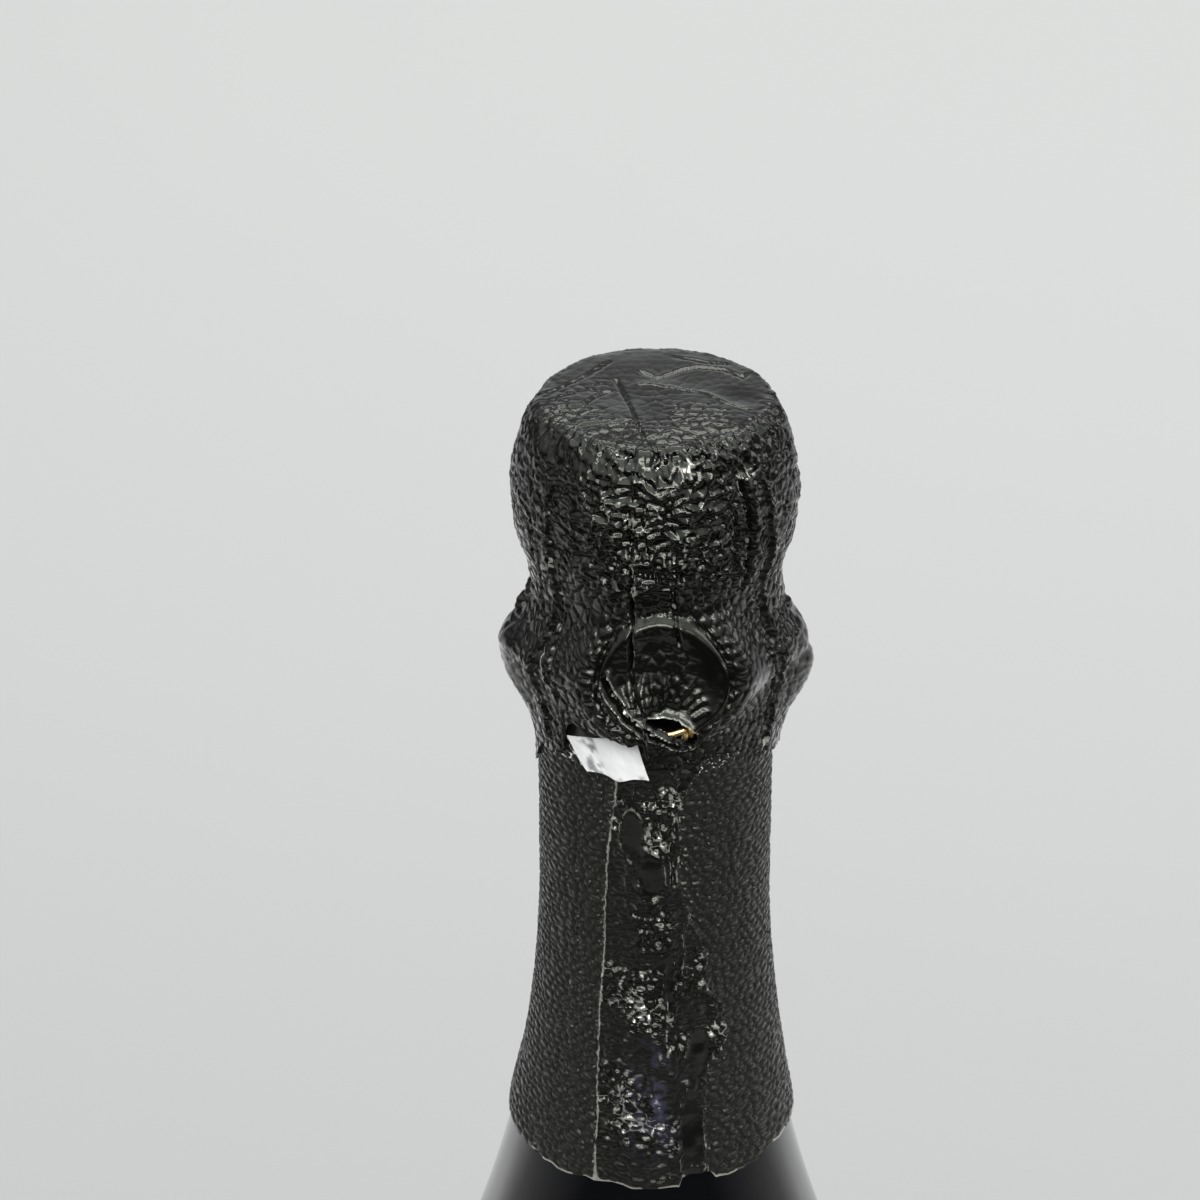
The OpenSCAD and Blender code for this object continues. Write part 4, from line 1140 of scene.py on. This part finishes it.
sleeveShape = {
    "top": 281.9, "bottom": 217.2, "gap": 0.12, "foil": 0.2, "band": 0.16,
    "left": [(214, 0.4), (219, 0.4), (223, 0.3), (227, 0), (233, -0.1), (248, -0.2), (258, -0.3), (270, -0.2)],
    "right": [(214, 0.6), (222, 0.75), (230, 0.75), (240, 0.6), (250, 0.42), (270, 0.45)],
}
s = sleeveShape
seamLeft = [(-17.5, 277.0), (-19.6, 270.6), (-22.4, 265.6), (-24.3, 256.5), (-24.4, 249.5), (-26.1, 241.0),
            (-25.2, 232.0), (-24.0, 224.0), (-23.5, 216.0)]
seamRight = [(23.2, 277.2), (17.6, 274.7), (13.6, 272.5), (10.9, 270.5), (12.6, 266.0), (11.2, 261.3),
             (14.5, 258.0), (16.5, 255.5), (26.0, 250.0), (30.0, 244.0), (36.0, 240.1), (35.4, 235.9), (25.6, 233.4),
             (24.5, 229.2), (22.2, 225.9), (23.8, 216.0)]
sleeveMarks = [  # line in degrees and height, depth, width, wear with painted highlight on the ridge
    ([(13.2, 273.0), (10.2, 270.5), (8.5, 267.8), (7.0, 264.2), (8.6, 262.0), (6.6, 259.0)], 0.36, 0.2, 0.6),
    ([(14.4, 268.2), (12.9, 266.4), (12.5, 264.4), (10.6, 262.6), (11.2, 260.3), (8.0, 258.4)], 0.26, 0.17, 0.5),
    ([(9.6, 270.2), (9.6, 266.0), (8.6, 262.6)], -0.3, 0.3, 0.0),
    ([(-8.7, 276.0), (-9.6, 274.0), (-11.3, 272.2)], 0.2, 0.14, 0.5),
    ([(-16.1, 270.4), (-20.3, 267.4), (-22.4, 264.4)], 0.16, 0.14, 0.4),
    ([(1.2, 270.2), (3.0, 268.6), (0.6, 267.6), (3.4, 267.2)], 0.2, 0.16, 0.5),
    ([(17.7, 256.5), (16.4, 254.2), (14.3, 253.0), (15.0, 249.6), (12.6, 246.6)], 0.3, 0.18, 0.55),
    ([(12.4, 246.6), (8.6, 244.1), (6.8, 239.5), (7.2, 234.0)], 0.28, 0.18, 0.5),
    ([(-14.6, 264.5), (-13.2, 262.0), (-13.6, 258.8), (-12.2, 256.8), (-8.0, 256.0)], 0.26, 0.2, 0.5),
    ([(23.8, 239.1), (36.1, 238.1)], 0.16, 0.16, 0.5),
    ([(33.0, 243.5), (35.5, 240.0)], 0.2, 0.18, 0.5),
    ([(-41.5, 275.0), (-41.7, 259.9), (-39.3, 248.2), (-38.6, 233.0)], -0.12, 0.16, 0.4),
    ([(-49.0, 262.0), (-47.0, 246.0), (-43.0, 231.0), (-39.0, 223.0)], -0.1, 0.3, 0.0),
    ([(0.0, 222.5), (-0.8, 217.0)], 0.16, 0.18, 0.4), ([(6.8, 226.0), (7.4, 217.5)], 0.16, 0.16, 0.3),
    ([(-1.5, 231.6), (0.4, 229.0), (-1.0, 226.4), (0.6, 223.6)], 0.18, 0.22, 0.3),
    ([(3.6, 236.0), (3.0, 232.0), (4.4, 228.4)], 0.14, 0.2, 0.3),
    ([(-44.0, 233.0), (-42.6, 229.8)], 0.2, 0.3, 0.5), ([(-36.0, 228.4), (-35.0, 226.0)], 0.16, 0.25, 0.3),
    ([(150.0, 279.0), (151.0, 250.0), (149.0, 218.0)], -0.1, 0.2, 0.1),
]


def bottomZ(a):  # ragged lower edge, with a notch in front
    full = (a + 180) % 360
    rag = 0.2 * softNoise(full / 4, 0 * a, 1.0, 91, 90) + 0.3 * softNoise(full / 20, 0 * a + 3, 1.0, 93, 18)
    sides = 0.9 * (1 - np.cos(np.radians(turned(a, -5))))
    notch = 1.3 * ramp(11.0, 12.5, turned(a, 0)) * ramp(27.0, 24.0, turned(a, 0))
    return s["bottom"] + rag + sides + notch


def sleeveHeight(a, z, wearAndGlints, shine, violet):
    u, turn = np.radians(turned(a, 0)) * 14.7, 2 * math.pi * 14.7
    full = (a + 180) % 360 / 360 * turn
    many = round(turn / 1.6)
    slow = softNoise(full * 30 / turn, z / 3.1, 1.0, 101, 30)
    other = softNoise(full * 30 / turn, z / 3.1, 1.0, 102, 30)
    first, second, mark, du, dv = grains(full * many / turn + 0.3 * slow, z / 0.95 + 0.3 * other, 103, many, 0.7)
    scale = ramp(0, 0.36, second - first) * (1 - 0.55 * first ** 2 + 0.42 * dv) * (0.85 + 0.15 * mark)
    leftEdge = np.interp(-z, [-q[1] for q in seamLeft], [q[0] for q in seamLeft])
    rightEdge = np.interp(-z, [-q[1] for q in seamRight], [q[0] for q in seamRight])
    angle = turned(a, 0) + 1.3 * softNoise(z, z * 0 + 4, 1.1, 107) + 0.5 * softNoise(z, z * 0 + 9, 0.5, 108)
    onBand = ramp(leftEdge - 0.4, leftEdge + 0.4, turned(a, 0)) * ramp(rightEdge + 0.7, rightEdge - 0.7, angle)
    patchy = ramp(-0.35, 0.3, softNoise(u + 60, z, 4.3, 109) + 0.35 * softNoise(u + 60, z, 1.6, 111)
                  + 0.5 * bell(z - 248, 8) - 0.2)
    near, next_, lot, dx, dy = grains((u + 60 + 0.25 * slow) / 1.08, (z + 0.25 * other) / 0.98, 113, 0, 0.7)
    dome = np.clip(1 - (near / 0.62) ** 2, 0, 1) * (0.45 + 0.55 * lot)
    crease = creases((u + 60) / 1.25 + 0.4 * slow, z / 1.1 + 0.4 * other, 129, 0)
    calm = np.clip(bell(turned(a, -10.5), 5.5) * bell(z - 267.5, 3.4) + bell(turned(a, -1), 6) * bell(z - 261.5, 3.2)
                   + bell(turned(a, 17), 5.5) * bell(z - 223.5, 6.5) + bell(turned(a, 22), 6) * bell(z - 235.5, 3.6)
                   + bell(turned(a, 8), 2.6) * bell(z - 246, 5), 0, 1)
    rough = 1 - ramp(0.15, 0.6, calm)
    brim = bell(calm - 0.3, 0.1) * onBand * ramp(-0.3, 0.4, softNoise(u + 60, z, 0.6, 115))
    out = 0.34 * (scale - 0.5) * (1 - onBand * (0.45 + 0.3 * patchy)) * (1 - 0.85 * onBand * (1 - rough))
    out += onBand * (s["band"] + 0.5 * dome * patchy * rough + 0.1 * softNoise(u + 60, z, 1.6, 117))
    out += onBand * rough * (0.1 * softNoise(u + 60, z, 0.7, 118) + 0.24 * crease * patchy) + 0.3 * brim
    out += 0.08 * softNoise(full * 14 / turn, z / 7, 1.0, 119, 14)
    for line, worn, tall in ((seamLeft, 0.85, 0.3), (seamRight, 0.6, 0.26)):
        dist = toLine(u + 0.12 * softNoise(u + 60, z, 1.0, 120), z, [lay(x, y, 14.7) for x, y in line])[0]
        uneven = 0.55 + 0.45 * softNoise(u + 60, z, 1.4, 121)
        out += tall * bell(dist, 0.2) * (0.4 + 0.6 * uneven)
        plain = line is seamRight
        wearAndGlints += worn * bell(dist, 0.17) * ramp(0.0, 0.45, uneven) * (1 - 0.8 * plain * bell(z - 247, 12) ** 0.5)
    for line, depth, width, worn in sleeveMarks:
        base = np.radians(a % 360) * 14.7 if abs(line[0][0]) > 100 else u
        wobble = 0.2 * softNoise(base + 60, z, 0.9, 123)
        dist, left, along = toLine(base + wobble, z, [lay(x, y, 14.7) for x, y in line])
        ends = ramp(0, 0.06, along) * ramp(0, 0.06, 1 - along)
        out += depth * bell(dist, width) * ends
        wearAndGlints += worn * bell(dist, 0.15) * ends * (softNoise(base + 60, z, 0.6, 127) > -0.15)
    # painted glints: the bare colour on the band's domes, along its creases and around its smooth patches
    wearAndGlints += onBand * ramp(0.1, 1.0, dome) * patchy * rough * (0.34 + 0.2 * (lot > 0.86)) * (lot > 0.35)
    wearAndGlints += 0.62 * onBand * patchy * rough * ramp(0.5, 0.95, crease) * ramp(0.0, 0.5, other + 0.3 * slow)
    wearAndGlints += 0.5 * ramp(0.35, 0.9, brim)
    lower = z - bottomZ(a)
    wearAndGlints += 0.9 * bell(lower, 0.32) * (softNoise(full * 70 / turn, z, 1.0, 131, 70) > -0.2)
    wearAndGlints += 0.45 * bell(lower - 1.0, 0.9) * (softNoise(full * 110 / turn, z, 1.0, 133, 110) > 0.5)
    shine += 0.6 * onBand * (0.4 + 0.6 * patchy)
    violet += onBand * (bell(turned(a, 0), 8) * bell(z - 229.5, 6)
                        * ramp(-0.3, 0.7, softNoise(u + 60, z / 1.6, 0.9, 137) + 0.7 * softNoise(u + 60, z, 0.5, 139)))
    return out * (1 - 0.85 * ramp(278, 280, z)) * ramp(-0.6, 1.3, lower)  # flat under the hood and at the edge


def sleeveRadius(a, z):
    r = neckRadius(z) + s["gap"] + s["foil"]
    for side, angle in (("left", 270), ("right", 90)):
        heights, changes = zip(*s[side])
        r = r + np.interp(z, heights, changes) * bell(turned(a, angle), 42) * ramp(280, 272, z)
    return r


sleeveA = hoodColumns(86, 0.74, 2.2)
sleeveRows = 288
sleeveShare = np.linspace(0, 1, sleeveRows + 1)
angleS = np.tile(sleeveA, (len(sleeveShare), 1))
heightS = s["top"] + (bottomZ(sleeveA)[None, :] - s["top"]) * sleeveShare[:, None]
fieldsS = {key: np.zeros(angleS.shape) for key in ("wearAndGlints", "shine", "violet")}
liftS = sleeveHeight(angleS, heightS, fieldsS["wearAndGlints"], fieldsS["shine"], fieldsS["violet"])
plainS = sleeveRadius(angleS, heightS)


def ringOf(angles, radius, z):
    return np.stack([radius * np.sin(np.radians(angles)), -radius * np.cos(np.radians(angles)), z], -1)


outerS = ringOf(angleS, plainS + liftS, heightS)
innerS = ringOf(angleS, np.minimum(plainS + softened(liftS, 4), plainS + liftS) - s["foil"], heightS)
points, faces, slots, used = foilShell(outerS, innerS, np.ones((sleeveRows, len(sleeveA)), bool), False, 4)
fields = {key: np.concatenate([v.ravel(), v.ravel()])[used] for key, v in fieldsS.items()}
makePiece("foilSleeve", points, faces, [foil, foilInside], "bottle", "black_foil", ["foil_sleeve"], slots,
          sharp=75, fields=fields)
print("sleeve laid on the neck,", len(faces), "faces")


# Tear strip and its tab

tabShape = {"r": 15.95, "thick": 0.12, "topLeft": (-42.6, 279.9), "topRight": (-8.8, 282.0),
            "lowLeft": (-28.6, 276.9), "lowRight": (-2.2, 276.8)}
t = tabShape


def tabGrid(columns, rows):
    x, y = np.meshgrid(np.linspace(0, 1, columns), np.linspace(0, 1, rows))
    corners = [np.array(t[key]) for key in ("topLeft", "topRight", "lowLeft", "lowRight")]
    a = (corners[0][0] * (1 - x) + corners[1][0] * x) * (1 - y) + (corners[2][0] * (1 - x) + corners[3][0] * x) * y
    z = (corners[0][1] * (1 - x) + corners[1][1] * x) * (1 - y) + (corners[2][1] * (1 - x) + corners[3][1] * x) * y
    z = z + 0.16 * np.sin(9 * x) * y - 0.12 * y * bell(x - 0.55, 0.1)
    fold = 0.3 * bell(x - 0.55, 0.14) * y - 0.18 * bell(x - 0.3, 0.1) + 0.25 * y ** 2 * (x - 0.5)
    ripple = 0.07 * softNoise(x * 8 + 20, y * 4 + 20, 1.0, 141) + 0.035 * softNoise(x * 19 + 20, y * 9 + 20, 1.0, 143)
    smudge = 0.75 * ramp(0.2, 0.9, softNoise(x * 5.5 + 20, y * 3 + 20, 1.0, 151)
                        + 0.45 * softNoise(x * 17 + 20, y * 8 + 20, 1.0, 153)) * ramp(0.0, 0.1, x) * ramp(1.0, 0.85, x)
    return a, t["r"] - 0.3 + 1.5 * y + fold + ripple, z, smudge


def makeTab():
    a, r, z, smudge = tabGrid(90, 34)
    rows, count = a.shape
    outer, inner = ringOf(a, r, z), ringOf(a, r - t["thick"], z)
    size = rows * count
    faces = []
    for k in range(rows - 1):
        for i in range(count - 1):
            m = k * count + i
            faces += [[m, m + count, m + count + 1, m + 1],
                      [size + m, size + m + 1, size + m + count + 1, size + m + count]]
    for k in range(rows - 1):
        m, e = k * count, k * count + count - 1
        faces += [[m, size + m, size + m + count, m + count], [e, e + count, size + e + count, size + e]]
    for i in range(count - 1):
        e = (rows - 1) * count + i
        faces += [[i, i + 1, size + i + 1, size + i], [e, size + e, size + e + 1, e + 1]]
    points = np.concatenate([outer.reshape(-1, 3), inner.reshape(-1, 3)])
    return makePiece("tearTab", points, faces, [ribbonWhite], "tab", "tear_ribbon", ["tear_tab"], sharp=50,
                     fields={"smudge": np.concatenate([smudge.ravel(), smudge.ravel() * 0])})


makeTab()
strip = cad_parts["tear_strip"]
strip.data.materials.clear()
strip.data.materials.append(ribbonWhite)
print("ribbon in place")


# Table, light and camera

# near and distant floor colours: darker near the bottle as painted shade
stageShape = {"floor": 6.0, "near": (0.62, 0.622, 0.622, 1), "distant": (0.875, 0.885, 0.865, 1),
              "shown": (0.715, 0.73, 0.715, 1),
              "room": 0.22, "roomBehind": 0.85, "roomFront": 0.04, "roomAbove": 1.2}


def mapped(nodes, start, end, low, high):
    node = place(nodes, "ShaderNodeMapRange")
    for key, value in (("From Min", start), ("From Max", end), ("To Min", low), ("To Max", high)):
        node.inputs[key].default_value = value
    return node


def makeFloor():
    mesh = bpy.data.meshes.new("floor")
    n, r = 96, stageShape["floor"]
    ring = [(r * math.cos(2 * math.pi * i / n), r * math.sin(2 * math.pi * i / n), 0) for i in range(n)]
    mesh.from_pydata(ring, [], [list(range(n))])
    floor = bpy.data.objects.new("floor", mesh)
    bpy.context.scene.collection.objects.link(floor)
    material, nodes, links, shader = newMaterial("paleFloor")
    tree = material.node_tree
    spot = place(nodes, "ShaderNodeTexCoord")
    axes = place(nodes, "ShaderNodeSeparateXYZ")
    links.new(spot.outputs["Object"], axes.inputs["Vector"])
    ahead = mapped(nodes, -0.6, 0.2, 0.0, 0.95)  # painted shade seen only in reflections: a darker table before the bottle
    away, beyond, aside = mapped(nodes, 0.2, 0.45, 0.1, 1.0), mapped(nodes, 0.46, 0.58, 1.5, 0.85), mapped(
        nodes, -0.4, 0.4, 1.12, 0.88)
    # painted shade: the floor's own colour darkens from distant to near the bottle
    depth = mapped(nodes, 0.25, 1.05, 0.0, 1.0)
    links.new(axes.outputs["Y"], ahead.inputs["Value"])
    links.new(axes.outputs["Y"], depth.inputs["Value"])
    shade = place(nodes, "ShaderNodeMix", data_type="RGBA")
    links.new(depth.outputs["Result"], shade.inputs[0])
    shade.inputs[6].default_value, shade.inputs[7].default_value = stageShape["near"], stageShape["distant"]
    reach = place(nodes, "ShaderNodeVectorMath", operation="LENGTH")
    links.new(spot.outputs["Object"], reach.inputs[0])
    links.new(reach.outputs["Value"], away.inputs["Value"])
    links.new(reach.outputs["Value"], beyond.inputs["Value"])
    links.new(axes.outputs["X"], aside.inputs["Value"])
    tone = ahead.outputs["Result"]
    for node in (away, beyond, aside):
        tone = mathNode(tree, "MULTIPLY", tone, node.outputs["Result"])
    path = place(nodes, "ShaderNodeLightPath")
    colour = place(nodes, "ShaderNodeMix", data_type="RGBA")
    links.new(path.outputs["Is Glossy Ray"], colour.inputs[0])
    links.new(shade.outputs[2], colour.inputs[6])
    links.new(tone, colour.inputs[7])
    links.new(colour.outputs[2], shader.inputs["Base Color"])
    shader.inputs["Roughness"].default_value = 0.9
    shader.inputs["Specular IOR Level"].default_value = 0.1
    distance = mapped(nodes, 1.08, 1.35, 0.0, 1.0)  # past the lamps' reach the table stays as pale as the room
    links.new(reach.outputs["Value"], distance.inputs["Value"])
    pale = place(nodes, "ShaderNodeEmission", Color=stageShape["shown"], Strength=1.0)
    mix = place(nodes, "ShaderNodeMixShader")
    links.new(mathNode(tree, "MULTIPLY", distance.outputs["Result"], path.outputs["Is Camera Ray"]), mix.inputs["Fac"])
    links.new(shader.outputs["BSDF"], mix.inputs[1])
    links.new(pale.outputs["Emission"], mix.inputs[2])
    links.new(mix.outputs["Shader"], nodes["Material Output"].inputs["Surface"])
    floor.data.materials.append(material)


def makeWorld():
    world = bpy.data.worlds.new("softRoom")
    bpy.context.scene.world = world
    world.use_nodes = True
    tree = world.node_tree
    nodes, links = tree.nodes, tree.links
    room = nodes["Background"]
    room.inputs["Color"].default_value = (0.95, 0.98, 1.0, 1)
    spot = place(nodes, "ShaderNodeTexCoord")
    axes = place(nodes, "ShaderNodeSeparateXYZ")
    links.new(spot.outputs["Generated"], axes.inputs["Vector"])
    behind = mapped(nodes, 0.8, 0.97, stageShape["roomFront"], stageShape["roomBehind"])
    above, forward = mapped(nodes, 0.0, 0.7, 0.0, stageShape["roomAbove"]), mapped(nodes, 0.85, 0.3, 0.08, 1.0)
    links.new(axes.outputs["Y"], behind.inputs["Value"])
    links.new(axes.outputs["Y"], forward.inputs["Value"])
    links.new(axes.outputs["Z"], above.inputs["Value"])
    overhead = mathNode(tree, "MULTIPLY", above.outputs["Result"], forward.outputs["Result"])
    path = place(nodes, "ShaderNodeLightPath")
    strength = place(nodes, "ShaderNodeMix")
    links.new(path.outputs["Is Glossy Ray"], strength.inputs[0])
    strength.inputs[2].default_value = stageShape["room"]
    links.new(mathNode(tree, "ADD", behind.outputs["Result"], overhead), strength.inputs[3])
    links.new(strength.outputs[0], room.inputs["Strength"])
    seen = place(nodes, "ShaderNodeBackground", Color=stageShape["shown"], Strength=1.0)
    mix = place(nodes, "ShaderNodeMixShader")
    links.new(path.outputs["Is Camera Ray"], mix.inputs["Fac"])
    links.new(room.outputs["Background"], mix.inputs[1])
    links.new(seen.outputs["Background"], mix.inputs[2])
    links.new(mix.outputs["Shader"], nodes["World Output"].inputs["Surface"])


def softLamp(name, where, target, width, height, power, colour=(1, 1, 1)):
    data = bpy.data.lights.new(name, "AREA")
    data.shape, data.size, data.size_y = "RECTANGLE", width, height
    data.energy, data.color = power, colour
    lamp = bpy.data.objects.new(name, data)
    lamp.location = where
    lamp.rotation_euler = (Vector(target) - Vector(where)).to_track_quat("-Z", "Y").to_euler()
    bpy.context.scene.collection.objects.link(lamp)


makeFloor()
makeWorld()
neck = (0, 0, 0.28)
softLamp("ceiling", (0.05, -0.25, 1.5), (0.05, -0.25, 0), 1.5, 0.9, 4.0)
softLamp("keyAbove", (0.1, -0.95, 1.05), neck, 1.4, 0.26, 12.5)
softLamp("frontPanel", (0, -1.35, 0.85), neck, 1.6, 0.4, 1.4)
softLamp("ceilingBehind", (0, 0.9, 1.75), (0, 0.9, 0), 1.5, 0.7, 14)
softLamp("rightBehind", (1.15, 0.45, 0.85), neck, 0.4, 0.9, 2.6)

camera = bpy.data.objects.new("camera", bpy.data.cameras.new("camera"))
camera.location = (-0.0066, -0.4287, 0.5227)
camera.rotation_euler = (math.pi / 2 - 0.493, 0, 0)
camera.data.lens, camera.data.sensor_width = 119.06, 36
camera.data.clip_start, camera.data.clip_end = 0.01, 50
bpy.context.scene.collection.objects.link(camera)
bpy.context.scene.camera = camera
bpy.context.scene.view_settings.view_transform = "Standard"
print("light and camera set")
